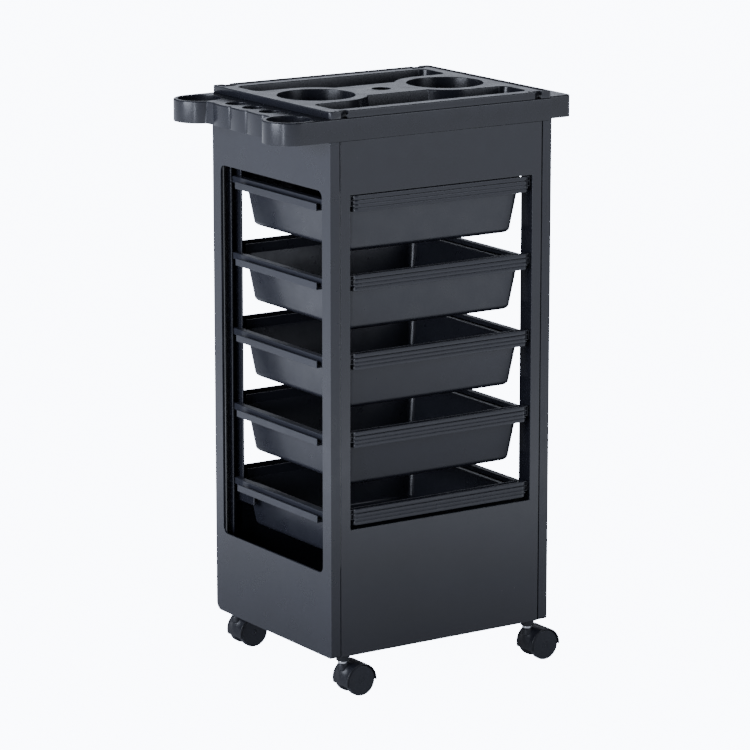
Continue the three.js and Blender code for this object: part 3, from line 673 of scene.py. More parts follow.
@dataclass(frozen=True)
class ToolTray:
    """The drop-in tray: a rim lip round a web with two bowls, two troughs and a centre hole."""

    wall: float = 2.0
    edge: float = 1.2
    lip: float = 4.0
    step: float = 1.4
    rim_height: float = 10.3
    bowl_radius: float = 56.0
    bowl_reach: float = 111.0
    bowl_depth: float = 35.0
    trough_depth: float = 30.0
    trough_end: float = 24.5
    trough_side: float = 25.0
    trough_band: float = 18.0
    trough_waist: float = 44.0
    trough_corner: float = 12.0
    hole_radius: float = 13.5
    notch_width: float = 12.0
    notch_depth: float = 7.0
    notch_reach: float = 165.0
    corner: float = 6.0
    draft: float = 2.0
    fillet: float = 5.0

    def outline(self, half: Array) -> Array:
        """The rim's outline: round corners, and four notches whose own corners stay sharp.

        Args:
            half: Half the tray's width and depth.

        Returns:
            An anticlockwise outline.
        """
        x, y = half[:2]
        near, far = self.notch_reach - self.notch_width / 2, self.notch_reach + self.notch_width / 2
        floor = y - self.notch_depth
        notch = np.array([[far, y], [far, floor], [near, floor], [near, y]])
        corner = arc((x - self.corner, y - self.corner), self.corner, 0, 90, 6)
        rear = np.concatenate([corner, notch, notch[::-1] * [-1, 1], corner[::-1] * [-1, 1]])
        return np.concatenate([rear, -rear])

    def trough(self, half: Array) -> Array:
        """The front trough's outline: a waist between two arcs round the bowls, and square ends.

        Args:
            half: Half the tray's width and depth.

        Returns:
            An anticlockwise outline.
        """
        around = self.bowl_radius + self.trough_band
        waist = self.bowl_reach - np.sqrt(around**2 - self.trough_waist**2)
        start = np.degrees(np.arctan2(-self.trough_waist, waist - self.bowl_reach)) % 360
        inner = arc((self.bowl_reach, 0), around, start, 270, 10)
        end, side = half[0] - self.trough_end, self.trough_side - half[1]
        corner = self.trough_corner
        upper = arc((end - corner, -around - corner), corner, 90, 0, 5)
        lower = arc((end - corner, side + corner), corner, 0, -90, 5)
        right = np.concatenate([inner, upper, lower])
        return np.concatenate([right * [-1, 1], right[::-1]])

    def well(self, skin: Skin, outline: Array, top: float, depth: float) -> None:
        """Adds a well below the web: a rounded brim, a drafted wall, a fillet and a floor.

        Args:
            skin: The skin it joins.
            outline: The well's anticlockwise outline.
            top: Level of the web.
            depth: Its depth.
        """
        brim = bend((self.edge, top - self.edge), self.edge, 90, 180)
        foot = bend((-self.draft - self.fillet, top - depth + self.fillet), self.fillet, 0, -90, 0.0)
        skin.carry(outline, profile(brim, foot))
        skin.fill(grow(outline, foot[-1, 0]), [], top - depth)

    def install(self) -> None:
        """Builds the tray as one sheet and gives it its wall."""
        box = Box.of("tool_tray")
        skin = Skin()
        top = box.high[2]
        web = top - self.step
        outline = self.outline(box.half)
        foot = top - self.rim_height
        rim = profile(
            straight((0, foot)),
            bend((-self.edge, top - self.edge), self.edge, 0, 90),
            bend((-self.lip + self.edge / 2, top - self.edge / 2), self.edge / 2, 90, 180),
            bend((-self.lip - self.edge / 2, web + self.edge / 2), self.edge / 2, 0, -90, 0.0),
        )
        skin.carry(outline, rim)
        bowls = [ring((side * self.bowl_reach, 0), self.bowl_radius, FINE_TURN) for side in SIDES.values()]
        trough = self.trough(box.half)
        wells = [(bowl, self.bowl_depth) for bowl in bowls]
        wells += [(loop, self.trough_depth) for loop in (trough, -trough)]
        for well, depth in wells:
            self.well(skin, well, web, depth - self.step)
        hole = ring((0, 0), self.hole_radius, PLAIN_TURN)
        skin.carry(hole, bend((self.edge, web - self.edge), self.edge, 90, 180))
        holes = [grow(loop, self.edge) for loop in (hole, *(loop for loop, _ in wells))]
        skin.fill(grow(outline, rim[-1, 0]), holes, web)
        piece = skin.piece("tool_tray_moulded", TRAY)
        thicken(piece, self.wall)
        install(piece, "cabinet", TRAY, "tool_tray")


def thicken(piece: bpy.types.Object, wall: float) -> None:
    """Gives an open sheet its wall on its hidden side, before its normals are weighted.

    Args:
        piece: The sheet, with its faces towards the light.
        wall: The wall in millimetres.
    """
    solid = piece.modifiers.new("wall", "SOLIDIFY")
    solid.thickness = wall * MM
    solid.offset = -1.0
    piece.modifiers.move(len(piece.modifiers) - 1, 0)


@dataclass(frozen=True)
class TopFrame:
    """The top frame: skirt, tool deck with two hoops and three holes, and the slotted handle deck."""

    wall: float = 3.0
    edge: float = 1.8
    brim: float = 1.4
    half_width: float = 189.0
    deck_reach: float = 52.5
    hoop_reach: float = 43.6
    hoop_radius: float = 37.5
    hoop_bore: float = 31.0
    tool_hole_reach: float = 28.0
    tool_hole_radius: float = 14.5
    tool_hole_pitch: float = 45.0
    hoop_blend: float = 2.0
    flute_bulge: float = 2.6
    crease: float = 1.3
    handle_margin: float = 10.0
    handle_radius: float = 10.0
    slot_inset: float = 12.0
    slot_width: float = 20.0
    slot_half: float = 62.0
    shelf_width: float = 18.0

    def flutes(self) -> Array:
        """The tool deck's wall between the hoops: three shallow arcs with a narrow crease at each end."""
        half, bulge = self.tool_hole_pitch / 2, self.flute_bulge
        radius = (half**2 + bulge**2) / (2 * bulge)
        spread = np.degrees(np.arcsin((half - self.crease) / radius))
        face = -self.half_width - self.deck_reach
        crease = np.array([[face + self.crease, half]])
        rows = []
        for y in (self.tool_hole_pitch, 0, -self.tool_hole_pitch):
            flute = arc((face + radius - bulge, y), radius, 180 - spread, 180 + spread, 10)
            rows += [crease + [0, y], flute]
        return np.concatenate([*rows, crease - [0, 2 * self.tool_hole_pitch]])

    def outline(self, half_depth: float, right: float) -> Array:
        """The whole frame's outline in plan.

        Args:
            half_depth: Half its depth.
            right: How far the handle reaches.

        Returns:
            An anticlockwise outline.
        """
        wall, margin = self.half_width, half_depth - self.handle_margin
        hoop = -wall - self.hoop_reach
        reach = np.degrees(np.arccos((self.deck_reach - self.hoop_reach) / self.hoop_radius))
        centre, blend = half_depth - self.hoop_radius, self.hoop_blend
        rear_hoop = arc((hoop, centre), self.hoop_radius, 90, 180 - blend + reach, 28)
        front_hoop = arc((hoop, -centre), self.hoop_radius, 180 + blend - reach, 270, 28)
        radius = self.handle_radius
        handle = np.concatenate([
            [[wall, -half_depth], [wall, -margin]],
            arc((right - radius, radius - margin), radius, -90, 0, 8),
            arc((right - radius, margin - radius), radius, 0, 90, 8),
        ])
        shoulder = [[wall, margin], [wall, half_depth]]
        return np.concatenate([handle, shoulder, rear_hoop, self.flutes(), front_hoop])

    def hole(self, skin: Skin, outline: Array, top: float, depth: float) -> None:
        """Adds a hole's rounded brim and its tube wall down from the deck."""
        brim = bend((self.brim, top - self.brim), self.brim, 90, 180)
        skin.carry(outline, profile(brim, straight((0, top - depth))))

    def install(self) -> None:
        """Builds the frame as one sheet and gives it its wall."""
        box = Box.of("top_frame")
        skin = Skin()
        foot, top = box.low[2], box.high[2]
        depth = top - foot
        outline = self.outline(box.half[1], box.high[0])
        brim = bend((-self.edge, top - self.edge), self.edge, 0, 90)
        skin.carry(outline, profile(straight((0, foot)), brim))
        hoop_x, hoop_y = -self.half_width - self.hoop_reach, box.half[1] - self.hoop_radius
        hoops = [ring((hoop_x, end * hoop_y), self.hoop_bore) for end in ENDS.values()]
        tool_x, pitch = -self.half_width - self.tool_hole_reach, self.tool_hole_pitch
        tools = [ring((tool_x, y), self.tool_hole_radius, PLAIN_TURN) for y in (-pitch, 0, pitch)]
        far = box.high[0] - self.slot_inset
        near = far - self.slot_width
        slot = rounded_box((near, -self.slot_half), (far, self.slot_half), self.handle_radius - self.wall)
        holes = [*hoops, *tools, slot]
        for hole in holes:
            self.hole(skin, hole, top, depth)
        tray = Box.of("tool_tray")
        shelf = tray.half[:2] - self.shelf_width
        well = rounded_box(tuple(-shelf), tuple(shelf), self.wall)
        skin.fill(grow(outline, -self.edge), [grow(hole, self.brim) for hole in holes] + [well], top)
        piece = skin.piece("top_frame_moulded", TRAY)
        thicken(piece, self.wall)
        install(piece, "cabinet", TRAY, "top_frame")


@dataclass(frozen=True)
class Drawer:
    """A drawer: a tapered tub with a rim, and a ribbed pull strip with an upstand at each end."""

    wall: float = 2.0
    edge: float = 0.9
    rim_drop: float = 16.0
    rim_thickness: float = 2.2
    rim_lip: float = 4.0
    tub_side: float = 5.5
    tub_end: float = 19.0
    tub_radius: float = 12.0
    draft: float = 10.0
    foot_radius: float = 8.0
    strip_half: float = 150.7
    strip_radius: float = 9.0
    strip_return: float = 12.0
    strip_wall: float = 3.0
    rib_levels: tuple[float, ...] = (0.0, -6.4, -12.2, -17.6, -23.5)
    rib_crown: float = 0.2
    rib_rub: float = 0.3
    rib_margin: float = 0.4
    strip_chamfer: float = 0.9
    chamfer_rub: float = 0.4
    back_margin: float = 0.2
    strip_points: int = 26
    grooves: tuple[float, ...] = (2.2, 0.8, 0.8)
    groove_width: float = 1.3
    ear_front: float = 4.5
    ear_back: float = 8.0
    ear_rib: float = 1.2
    ear_drop: float = 1.0
    upstand_drop: float = 2.5
    upstand_end: float = 3.0
    upstand_sink: float = 0.3
    upstand_root: float = 1.0
    upstand_round: float = 0.6
    rim_radius: float = 3.0
    least_radius: float = 6.0
    bridge_edge: float = 0.5
    ear_edge: float = 0.25
    ear_radius: float = 0.3
    ear_width: float = 4.0
    ear_step: float = 1.0
    ear_foot: float = 0.3

    def tub_loop(self, half: Array, inset: float) -> Array:
        """The tub's plan, in from its brim by an inset: a rectangle with round corners."""
        reach = half[:2] - inset
        return rounded_box(tuple(-reach), tuple(reach), max(self.tub_radius - inset, self.least_radius), 10)

    def tub(self, skin: Skin, box: Box) -> None:
        """Adds the tub: from the middle of its underside out, up, round the rim and down inside.

        Args:
            skin: The skin it joins.
            box: The drawer's box.
        """
        half = np.array([box.half[0] - self.tub_side, box.half[1] - self.tub_end])
        low, rim_top = -2 * box.half[2], -self.rim_drop
        rim_foot = rim_top - self.rim_thickness
        turn, hollow = self.foot_radius, self.foot_radius - self.wall
        outside = profile(
            arc_levels(self.draft + turn, low + turn, turn, -90, 0, -1),
            straight((0, rim_foot)),
        )
        inside_wall = profile(
            bend((self.wall - self.edge, rim_top - self.edge), self.edge, 90, 0)[:, :3],
            arc_levels(self.draft + turn, low + turn, hollow, 0, -90, -1),
        )
        rows = [self.lifted(skin, half, offset, level) for offset, level, _ in outside]
        rubs = list(outside[:, 2])
        rim = rounded_box(tuple(-self.rim_reach(box)), tuple(self.rim_reach(box)), self.rim_radius, 10)
        for level, way in ((rim_foot, 1), (rim_top, -1)):
            ends = [(self.edge, level, 0), (0, level + way * self.edge, 1)]
            for inset, height, rub in ends[::way]:
                rows.append(skin.lift(grow(rim, -inset), height))
                rubs.append(rub)
        rows += [self.lifted(skin, half, offset, level) for offset, level, _ in inside_wall]
        rubs += list(inside_wall[:, 2])
        skin.grid(np.stack(rows), np.array(rubs, float))
        skin.fill(rows[0][:, :2], [], low)
        skin.fill(rows[-1][:, :2], [], low + self.wall)

    def lifted(self, skin: Skin, half: Array, inset: float, level: float) -> Array:
        """The tub's plan at an inset, put at a level."""
        return skin.lift(self.tub_loop(half, inset), level)

    def rim_reach(self, box: Box) -> Array:
        """Half the rim's width and depth."""
        return np.array([box.half[0], box.half[1] - self.tub_end + self.rim_lip])

    def strip_path(self, box: Box) -> Array:
        """The pull strip's front in plan: round one end, along the front and round the other."""
        front, radius = -box.half[1], self.strip_radius
        left = arc((-self.strip_half + radius, front + radius), radius, 180, 270, 8)
        right = arc((self.strip_half - radius, front + radius), radius, -90, 0, 8)
        back = front + self.strip_return
        across = np.linspace(left[-1, 0], right[0, 0], self.strip_points)[1:-1]
        middle = np.column_stack([across, np.full_like(across, front)])
        return np.concatenate([[[-self.strip_half, back]], left, middle, right, [[self.strip_half, back]]])

    def strip_section(self) -> Array:
        """The pull strip's section: three crowned ribs outside, and a plain back.

        Between two rib edges a and b the face stands out by crown * 4 t (1 - t), t from 0 to 1.
        """
        parts = []
        gap, foot = self.groove_width / 2, self.rib_levels[-1]
        depths = (*self.grooves, 0)
        for upper, lower, depth in zip(self.rib_levels, self.rib_levels[1:], depths):
            start = upper - (gap if upper < 0 else self.rib_margin)
            end = lower + (gap if lower > foot else self.rib_margin)
            t = np.linspace(0, 1, 6)
            crown = 4 * t * (1 - t) * self.rib_crown - self.rib_crown
            rub = np.where(t % 1 == 0, self.rib_rub, 0.0)
            parts.append(np.column_stack([crown, start + (end - start) * t, rub]))
            if depth:
                parts.append(straight((-depth, lower + gap / 2), (-depth, lower - gap / 2)))
        margin, wall = self.back_margin, self.strip_wall
        back = straight((-wall, foot + margin), (-wall, -margin))
        low, high = ([[-self.strip_chamfer, level, self.chamfer_rub]] for level in (foot, 0))
        return np.concatenate([*parts, low, back, high])

    def strip(self, skin: Skin, box: Box) -> None:
        """Adds one pull strip: its section carried round its path, with both ends closed."""
        path, section = self.strip_path(box), self.strip_section()
        out = mitres(path, False)
        rows = path[:, None] + section[None, :, :1] * out[:, None]
        points = skin.lift(rows, section[None, :, 1])
        before = skin.count
        skin.grid(points)
        skin.rubs[-1] = np.tile(section[:, 2], len(path))
        skin.cap(before, len(path))

    def fittings(self, skin: Skin, box: Box) -> None:
        """Adds the front bridge, the upstand and the cellular ears, as slabs with rounded edges.

        Args:
            skin: The skin they join.
            box: The drawer's box.
        """
        front, rim_top = -box.half[1], -self.rim_drop
        wall_y = front + self.tub_end
        reach = self.strip_half - self.strip_wall / 2
        bridge = rounded_box((-reach, front + self.strip_wall / 2), (reach, wall_y), 1.0, 2)
        skin.prism(bridge, [], (rim_top - self.rim_thickness, rim_top), self.bridge_edge)
        end = box.half[0] - self.tub_side - self.upstand_end
        near, turn = wall_y - self.upstand_sink, self.upstand_round
        upstand = rounded_box((-end, near), (end, near + self.wall), turn, 3)
        skin.prism(upstand, [], (rim_top - self.upstand_root, -self.upstand_drop), turn)
        near, far = front + self.ear_front, front + self.ear_back
        inner, top, foot = reach - self.ear_width, -self.ear_drop, self.ear_foot - self.rim_drop
        thin = self.ear_rib
        cells = [((inner, far - thin), (box.half[0], far), (foot, top))]
        for x in (reach - self.ear_step, box.half[0] - thin):
            cells.append(((x, near), (x + thin, far - thin / 2), (foot, top)))
        for level in (foot, (foot + top) / 2, top - thin):
            cells.append(((inner, near), (box.half[0], far - thin / 2), (level, level + thin)))
        for side in SIDES.values():
            for low, high, levels in cells:
                block = rounded_box(low, high, self.ear_radius, 2) * [side, 1]
                skin.prism(block[::side], [], levels, self.ear_edge)

    def install(self, number: int) -> None:
        """Builds one drawer.

        Args:
            number: Its number, from the top.
        """
        box = Box.of(f"drawer_{number}")
        skin = Skin()
        self.tub(skin, box)
        for sign in (1, -1):
            skin.signs = (sign, sign, 1)
            self.strip(skin, box)
            self.fittings(skin, box)
        piece = skin.piece(f"drawer_{number}_moulded", DRAWER, (0, 0, box.high[2]))
        install(piece, f"drawer_{number}", DRAWER, f"drawer_{number}")


def arc_levels(inset: float, level: float, radius: float, start: float, end: float, sign: int) -> Array:
    """A bend of a tub's profile as (inset, level, rub), its insets measured inwards.

    Args:
        inset: Inset of the bend's middle.
        level: Level of the bend's middle.
        radius: Its radius.
        start: First angle, in degrees.
        end: Last angle, in degrees.
        sign: -1 where a growing offset lessens the inset.

    Returns:
        (6, 3) points.
    """
    points = arc((0, level), radius, start, end, 5)
    return np.column_stack([inset + sign * points[:, 0], points[:, 1], np.zeros(6)])


@dataclass(frozen=True)
class RunnerRail:
    """A runner rail: a folded strip with a lip, a floor, a guide and a ledge, and a tenon at each end."""

    wall: float = 2.0
    edge: float = 0.5
    lip_height: float = 10.5
    lip_drop: float = 15.0
    guide_drop: float = 10.5
    guide_width: float = 10.5
    guide_clearance: float = 5.3
    ledge_drop: float = 18.5
    ledge_edge: float = 151.7
    opening_half: float = 156.0
    rail_half: float = 109.0
    tenon: tuple[float, float] = (159.3, 168.7)
    tenon_height: float = 10.0
    tenon_root: float = 8.0
    tenon_round: float = 0.8
    fold_radius: float = 0.7

    def section(self, lip_x: float) -> Array:
        """The folded section (x, z) for the right side.

        Args:
            lip_x: The lip's outer face.

        Returns:
            An anticlockwise outline with rounded folds.
        """
        lip, floor = -self.lip_drop, -self.lip_drop - self.lip_height
        guide, ledge, wall = -self.guide_drop, -self.ledge_drop, self.wall
        near = self.opening_half + self.guide_clearance
        far = near + self.guide_width
        corners = np.array([
            [lip_x, floor], [lip_x, lip], [lip_x - wall, lip], [lip_x - wall, floor + wall],
            [far, floor + wall], [far, guide], [near, guide], [near, ledge],
            [self.ledge_edge, ledge], [self.ledge_edge, ledge - wall], [near + wall, ledge - wall],
            [near + wall, guide - wall], [far - wall, guide - wall], [far - wall, floor],
        ])
        return soften(corners, self.fold_radius, 3)

    def install(self, number: int, side: str) -> None:
        """Builds one rail.

        Args:
            number: Its drawer's number.
            side: Left or right.
        """
        node = f"runner_rail_{number}_{side}"
        box = Box.of(node)
        top = Box.of(f"drawer_{number}").high[2]
        skin = Skin(Facing.FRONT, (SIDES[side], 1, 1))
        outer = np.abs([box.low[0], box.high[0]]).max()
        skin.prism(self.section(outer), [], (-self.rail_half, self.rail_half), self.edge)
        tenon_top = -self.guide_drop - self.wall / 2
        near, far = self.tenon
        foot = tenon_top - self.tenon_height
        tenon = rounded_box((near, foot), (far, tenon_top), self.tenon_round, 3)
        for end in ENDS.values():
            levels = sorted((end * (self.rail_half - self.tenon_root), end * box.half[1]))
            skin.prism(tenon, [], tuple(levels), self.edge)
        piece = skin.piece(f"{node}_moulded", RAIL, (0, 0, top))
        install(piece, "cabinet", RAIL, node)


@dataclass(frozen=True)
class Caster:
    """A twin-wheel caster: socket, stem, hood, axle and two wheels."""

    fender_radius: float = 23.3
    fender_wall: float = 2.0
    fender_start: float = -3.0
    fender_end: float = 196.0
    shoulder: float = 6.3
    shoulder_peak: float = 132.0
    shoulder_spread: tuple[float, float] = (18.0, 34.0)
    shoulder_reach: float = 10.0
    body_half: float = 8.6
    hub_radius: float = 9.0
    edge: float = 0.7
    rod_step: float = 2.0
    rod_round: float = 0.8
    rod_chamfer: float = 0.6
    collar_top: float = -8.0
    collar_height: float = 4.0
    collar_round: float = 0.9
    socket_bore: float = 5.8
    socket_lid: float = 2.0
    mouth_round: float = 0.8
    flange_round: float = 1.2
    flange_top: float = -0.3
    sleeve_step: float = 3.0
    chin: tuple[tuple[float, float], ...] = ((-4.0, 8.0), (-3.5, -3.0), (4.0, -10.0))
    throat: tuple[tuple[float, float], ...] = ((0.0, -8.0), (9.0, -3.0))
    body_drop: float = 0.9
    body_end: float = 118.0
    barrel_drop: float = 10.0
    barrel_round: float = 1.6
    barrel_taper: float = 0.8
    tread_round: float = 1.8
    face_step: tuple[float, float] = (3.0, 3.6)
    face_depth: float = 0.5
    hub_cap: float = 4.2
    hub_ramp: tuple[float, float] = (1.2, 0.6)
    hub_groove: float = 0.9
    cap_depths: tuple[float, float] = (0.4, 0.3)
    mark_radii: tuple[float, float] = (1.6, 1.2)

    def stem(self, corner: str) -> None:
        """Builds the bright stem with its round-edged collar."""
        node = f"caster_stem_{corner}"
        box = Box.of(node)
        low, high = box.low[2], box.high[2]
        collar, rod, top = box.half[0], box.half[0] - self.rod_step, self.collar_top
        foot, turn, chamfer = top - self.collar_height, self.collar_round, self.rod_chamfer
        section = profile(
            straight((0, low)),
            bend((rod - self.rod_round, low + self.rod_round), self.rod_round, -90, 0),
            straight((rod, foot)),
            bend((collar - turn, foot + turn), turn, -90, 0, 0),
            bend((collar - turn, top - turn), turn, 0, 90, 0),
            straight((rod, top), (rod, high - chamfer), (rod - chamfer, high), (0, high)),
        )
        skin = Skin()
        skin.turn(section, tuple(box.middle[:2]))
        install(skin.piece(f"{node}_turned", CHROME), "cabinet", CHROME, node)

    def socket(self, corner: str) -> None:
        """Builds the socket's visible flange and its sleeve."""
        node = f"caster_socket_{corner}"
        box = Box.of(node)
        low, high, lid = box.low[2], box.high[2], box.high[2] - self.socket_lid
        flange, bore, mouth, turn = box.half[0], self.socket_bore, self.mouth_round, self.flange_round
        sleeve, top = flange - self.sleeve_step, self.flange_top
        section = profile(
            straight((0, lid), (bore, lid)),
            bend((bore + mouth, low + mouth), mouth, 180, 270),
            bend((flange - turn, low + turn), turn, -90, 0),
            straight((flange, top), (sleeve, top), (sleeve, high), (0, high)),
        )
        skin = Skin()
        skin.turn(section, tuple(box.middle[:2]))
        install(skin.piece(f"{node}_turned", CASTER), "cabinet", CASTER, node)

    def hood(self, corner: str) -> None:
        """Builds the hood: a fender over both wheels, the body between them and the stem's barrel."""
        node = f"caster_hood_{corner}"
        box = Box.of(node)
        axle = Box.of(f"caster_axle_{corner}").middle
        stem = Box.of(f"caster_stem_{corner}").middle[0] - axle[0]
        outer = self.fender_radius + self.fender_wall
        skin = Skin(Facing.FRONT)
        self.shell(skin, outer, box.half[1])
        chin = np.array(self.chin) + [stem, 0]
        crown = arc((0, 0), outer - self.body_drop, 0, self.body_end, 30)
        body = np.concatenate([crown, chin, self.throat])
        skin.prism(body, [], (-self.body_half, self.body_half), self.edge)
        skin.facing = Facing.UP
        foot, turn = outer - self.barrel_drop, self.barrel_round
        barrel = profile(
            straight((0, foot)),
            bend((self.hub_radius - turn, foot + turn), turn, -90, 0),
            bend((self.hub_radius - turn - self.barrel_taper, outer - turn), turn, 0, 90),
            straight((0, outer)),
        )
        skin.turn(barrel, (stem, 0))
        install(skin.piece(f"{node}_moulded", CASTER, axle), f"caster_{corner}", CASTER, node)

    def shell(self, skin: Skin, outer: float, half: float) -> None:
        """Adds the fender and the shoulder under the stem, as one closed sheet.

        At angle a round the axle and y across, the outer radius is the fender's plus
        swell * exp(-((a - peak) / spread)^2) * exp(-(y / reach)^2), the spread being narrower towards the
        crown, and it never rises above the crown.

        Args:
            skin: The skin it joins.
            outer: The fender's outer radius.
            half: Half its width.
        """
        angle = np.linspace(self.fender_start, self.fender_end, 90)[:, None]
        turn = np.radians([0, 30, 60, 90])
        edge_y, edge_in = half - self.edge * (1 - np.sin(turn)), self.edge * (1 - np.cos(turn))
        flat = np.linspace(-edge_y[0], edge_y[0], 27)[1:-1]
        across = np.concatenate([-edge_y[::-1], flat, edge_y])
        inset = np.concatenate([edge_in[::-1], np.zeros(len(flat)), edge_in])
        away = angle - self.shoulder_peak
        spread = np.where(away < 0, self.shoulder_spread[0], self.shoulder_spread[1])
        swell = self.shoulder * np.exp(-((away / spread) ** 2 + (across / self.shoulder_reach) ** 2))
        crown = outer / np.maximum(np.sin(np.radians(angle)), 0.1)
        radius = np.minimum(outer + swell, crown) - inset
        under = np.full((len(angle), len(across)), self.fender_radius)
        radius = np.concatenate([radius, under], 1)
        across = np.broadcast_to(np.concatenate([across, across[::-1]]), radius.shape)
        points = np.stack([radius * np.cos(np.radians(angle)), across, radius * np.sin(np.radians(angle))], 2)
        before = skin.count
        skin.grid(points)
        skin.cap(before, len(points))

    def wheel(self, corner: str, end: str) -> None:
        """Builds one wheel: a crowned tread, a dished face, a cap and a centre mark.

        Args:
            corner: The caster's corner.
            end: Which of its two wheels.
        """
        node = f"caster_wheel_{corner}_{end}"
        box = Box.of(node)
        radius, face, turn, cap = box.half[0], box.half[1], self.tread_round, self.hub_cap
        dish, groove = face - self.face_depth, face - self.hub_groove
        section = profile(
            straight((0, -face)),
            bend((radius - turn, turn - face), turn, -90, 0),
            straight((radius, 0)),
            bend((radius - turn, face - turn), turn, 0, 90),
            straight((radius - self.face_step[0], face), (radius - self.face_step[1], dish)),
            straight((cap + self.hub_ramp[0], dish), (cap + self.hub_ramp[1], groove)),
            straight((cap, face - self.cap_depths[0]), (self.mark_radii[0], face - self.cap_depths[1])),
            straight((self.mark_radii[1], groove), (0, groove)),
        )
        skin = Skin(Facing.FRONT, (1, ENDS[end], 1))
        skin.turn(section, (0, 0), FINE_TURN)
        piece = skin.piece(f"{node}_moulded", WHEEL, box.middle)
        install(piece, f"wheel_{corner}_{end}", WHEEL, node)

    def install(self, corner: str) -> None:
        """Builds one caster."""
        self.socket(corner)
        self.stem(corner)
        self.hood(corner)
        for end in ENDS:
            self.wheel(corner, end)


def finish_plain_nodes() -> None:
    """Gives the CAD nodes that stay their finishes: base plate, screws and axles."""
    for name, node in frame["nodes"].items():
        finish = TRAY if name == "base_plate" else STEEL
        if not node.hide_render:
            node.data.materials.clear()
            node.data.materials.append(finish.material())
            LOG.info("%s: CAD shape, %s", name, finish.name)


# ---------------------------------------------------------------------------------------------------------
# Studio
# ---------------------------------------------------------------------------------------------------------


@dataclass(frozen=True)
class Softbox:
    """A cool rectangular lamp that faces a point."""

    name: str
    place: tuple[float, float, float]
    size: tuple[float, float]
    power: float
    aim: tuple[float, float, float] = (0.0, 0.0, 0.42)
    tint: tuple[float, float, float] = (0.82, 0.87, 1.0)

    def install(self) -> None:
        """Adds the lamp."""
        lamp = bpy.data.lights.new(self.name, "AREA")
        lamp.shape = "RECTANGLE"
        lamp.size, lamp.size_y = self.size
        lamp.energy = self.power
        lamp.color = self.tint
        lit = bpy.data.objects.new(self.name, lamp)
        lit.location = self.place
        lit.rotation_euler = (Vector(self.aim) - Vector(self.place)).to_track_quat("-Z", "Y").to_euler()
        bpy.context.scene.collection.objects.link(lit)


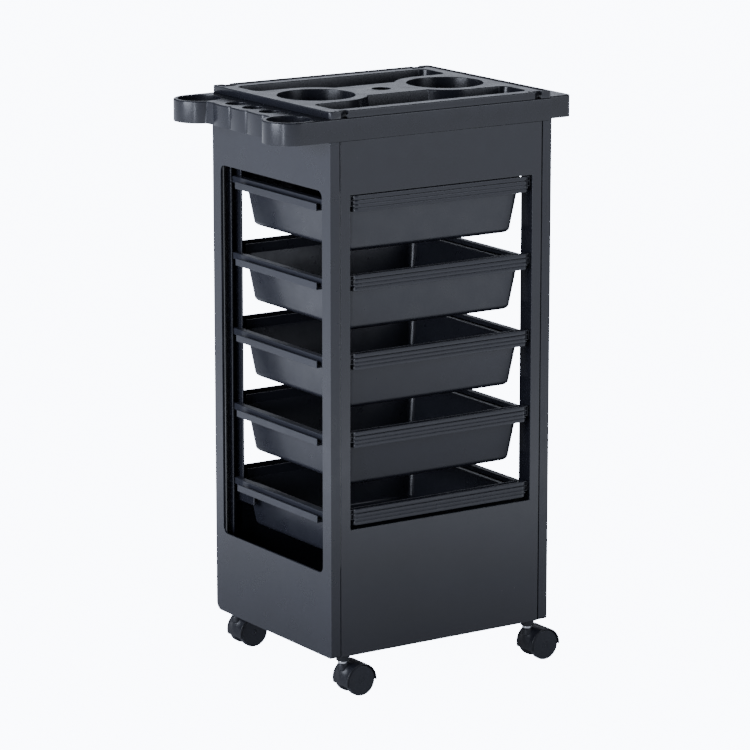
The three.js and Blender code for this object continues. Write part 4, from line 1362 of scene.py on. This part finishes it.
@dataclass(frozen=True)
class Studio:
    """A pale floor, a pale room, softboxes and the camera."""

    floor_half: float = 30.0
    eye: tuple[float, float, float] = (-2.9951, -4.5252, 1.5821)
    yaw: float = 0.58304
    pitch: float = 0.22106
    lens: float = 182.41
    floor_tone: float = 0.45
    floor_roughness: float = 0.7
    # Painted pool of light on the floor, seen only by glossy rays, as (distance from the middle in metres,
    # glow level): dim close by as painted shade, bright round it as painted reflections.
    painted_pool_stops: tuple[tuple[float, float], ...] = (
        (0.3, 0.15), (0.8, 0.42), (1.35, 1.0), (2.3, 0.72), (4.0, 0.68),
    )
    # Strength of the painted pool of light that only glossy rays see.
    painted_pool_strength: float = 1.45
    glow: tuple[float, float, float] = (0.84, 0.885, 1.0)
    ambient: float = 0.06
    backdrop: float = 12.0
    room_tone: tuple[float, float, float] = (0.90, 0.95, 1.0)
    sensor: float = 36.0
    far: float = 200.0

    def floor(self) -> None:
        """Adds the floor, a single large square under the wheels."""
        reach = self.floor_half
        mesh = bpy.data.meshes.new("floor")
        corners = [(-reach, -reach, 0), (reach, -reach, 0), (reach, reach, 0), (-reach, reach, 0)]
        mesh.from_pydata(corners, [], [(0, 1, 2, 3)])
        made = bpy.data.materials.new("pale_floor")
        made.use_nodes = True
        tree = made.node_tree
        shader = tree.nodes["Principled BSDF"]
        shader.inputs["Base Color"].default_value = (*[self.floor_tone] * 3, 1)
        shader.inputs["Roughness"].default_value = self.floor_roughness
        shader.inputs["Emission Color"].default_value = (*self.glow, 1)
        # The floor glows evenly for the camera as backdrop, and for glossy rays with the painted pool of
        # light: painted shade near the trolley, painted reflections round it.
        total = tree.nodes.new("ShaderNodeMath")
        total.operation = "ADD"
        tree.links.new(self.seen(tree, "Is Camera Ray", self.backdrop), total.inputs[0])
        tree.links.new(self.painted_pool(tree), total.inputs[1])
        tree.links.new(total.outputs[0], shader.inputs["Emission Strength"])
        mesh.materials.append(made)
        floor = bpy.data.objects.new("floor", mesh)
        bpy.context.scene.collection.objects.link(floor)

    @staticmethod
    def seen(tree: bpy.types.NodeTree, ray: str, strength: float) -> Socket:
        """A strength that only one kind of ray gets."""
        path = tree.nodes.new("ShaderNodeLightPath")
        scale = tree.nodes.new("ShaderNodeMath")
        scale.operation = "MULTIPLY"
        scale.inputs[1].default_value = strength
        tree.links.new(path.outputs[ray], scale.inputs[0])
        return scale.outputs[0]

    def painted_pool(self, tree: bpy.types.NodeTree) -> Socket:
        """The painted pool of light on the floor that glossy faces mirror: a glow, not a lamp, that only
        glossy rays see, dim near the trolley as painted shade and bright round it as painted reflections.

        Args:
            tree: The floor's node tree.

        Returns:
            The strength, which follows the distance from the floor's middle.
        """
        place = tree.nodes.new("ShaderNodeTexCoord").outputs["Object"]
        distance = tree.nodes.new("ShaderNodeVectorMath")
        distance.operation = "LENGTH"
        tree.links.new(place, distance.inputs[0])
        reach = tree.nodes.new("ShaderNodeMath")
        reach.operation = "DIVIDE"
        reach.inputs[1].default_value = self.painted_pool_stops[-1][0]
        tree.links.new(distance.outputs["Value"], reach.inputs[0])
        ramp = tree.nodes.new("ShaderNodeValToRGB")
        steps = ramp.color_ramp.elements
        while len(steps) < len(self.painted_pool_stops):
            steps.new(0.5)
        for step, (radius, level) in zip(steps, self.painted_pool_stops):
            step.position = radius / self.painted_pool_stops[-1][0]
            step.color = (level, level, level, 1)
        tree.links.new(reach.outputs[0], ramp.inputs["Fac"])
        glossy = self.seen(tree, "Is Glossy Ray", self.painted_pool_strength)
        scale = tree.nodes.new("ShaderNodeMath")
        scale.operation = "MULTIPLY"
        tree.links.new(glossy, scale.inputs[0])
        tree.links.new(ramp.outputs["Color"], scale.inputs[1])
        return scale.outputs[0]

    def room(self) -> None:
        """Sets the pale surroundings: an even light, brighter where the camera sees them."""
        world = bpy.data.worlds.new("pale_room")
        bpy.context.scene.world = world
        world.use_nodes = True
        tree = world.node_tree
        background = tree.nodes["Background"]
        background.inputs["Color"].default_value = (*self.room_tone, 1)
        total = tree.nodes.new("ShaderNodeMath")
        total.operation = "ADD"
        total.inputs[1].default_value = self.ambient
        tree.links.new(self.seen(tree, "Is Camera Ray", self.backdrop), total.inputs[0])
        tree.links.new(total.outputs[0], background.inputs["Strength"])

    def camera(self) -> None:
        """Adds the camera: a long lens, turned by the yaw and tipped down by the pitch."""
        lens = bpy.data.cameras.new("camera")
        lens.lens = self.lens
        lens.sensor_width = self.sensor
        lens.clip_end = self.far
        camera = bpy.data.objects.new("camera", lens)
        camera.location = Vector(self.eye) + Vector(ORIGIN)
        camera.rotation_euler = (np.pi / 2 - self.pitch, 0, -self.yaw)
        bpy.context.scene.collection.objects.link(camera)
        bpy.context.scene.camera = camera

    def install(self) -> None:
        """Builds the studio."""
        self.camera()
        self.floor()
        self.room()
        for lamp in LAMPS:
            lamp.install()


LAMPS = (
    Softbox("key_left", (-2.2, -0.1, 1.0), (1.4, 1.0), 50.0, (-0.17, 0.0, 0.62)),
    Softbox("fill_front", (0.8, -1.6, 1.15), (1.0, 0.8), 7.5, (0.0, -0.16, 0.6)),
    Softbox("edge_strip", (-2.2, -1.45, 0.5), (0.22, 0.9), 7.0, (-0.19, -0.16, 0.5)),
    Softbox("rim_rear", (1.6, 2.5, 1.45), (1.6, 0.6), 3.0, (0.0, 0.0, 0.85)),
    Softbox("top", (-0.6, 1.3, 2.2), (1.0, 1.0), 3.0, (0.0, 0.0, 0.8)),
)


def main() -> None:
    """Builds the studio and every piece, in order."""
    logging.basicConfig(level=logging.INFO, format="%(name)s: %(message)s")
    Studio().install()
    MouldedShell().install()
    ToolTray().install()
    TopFrame().install()
    for number in range(1, 1 + sum(name.startswith("drawer_") for name in frame["bodies"])):
        Drawer().install(number)
        for side in SIDES:
            RunnerRail().install(number, side)
    for side in SIDES:
        for end in ENDS:
            Caster().install(f"{end}_{side}")
    finish_plain_nodes()


if __name__ == "__main__":
    main()
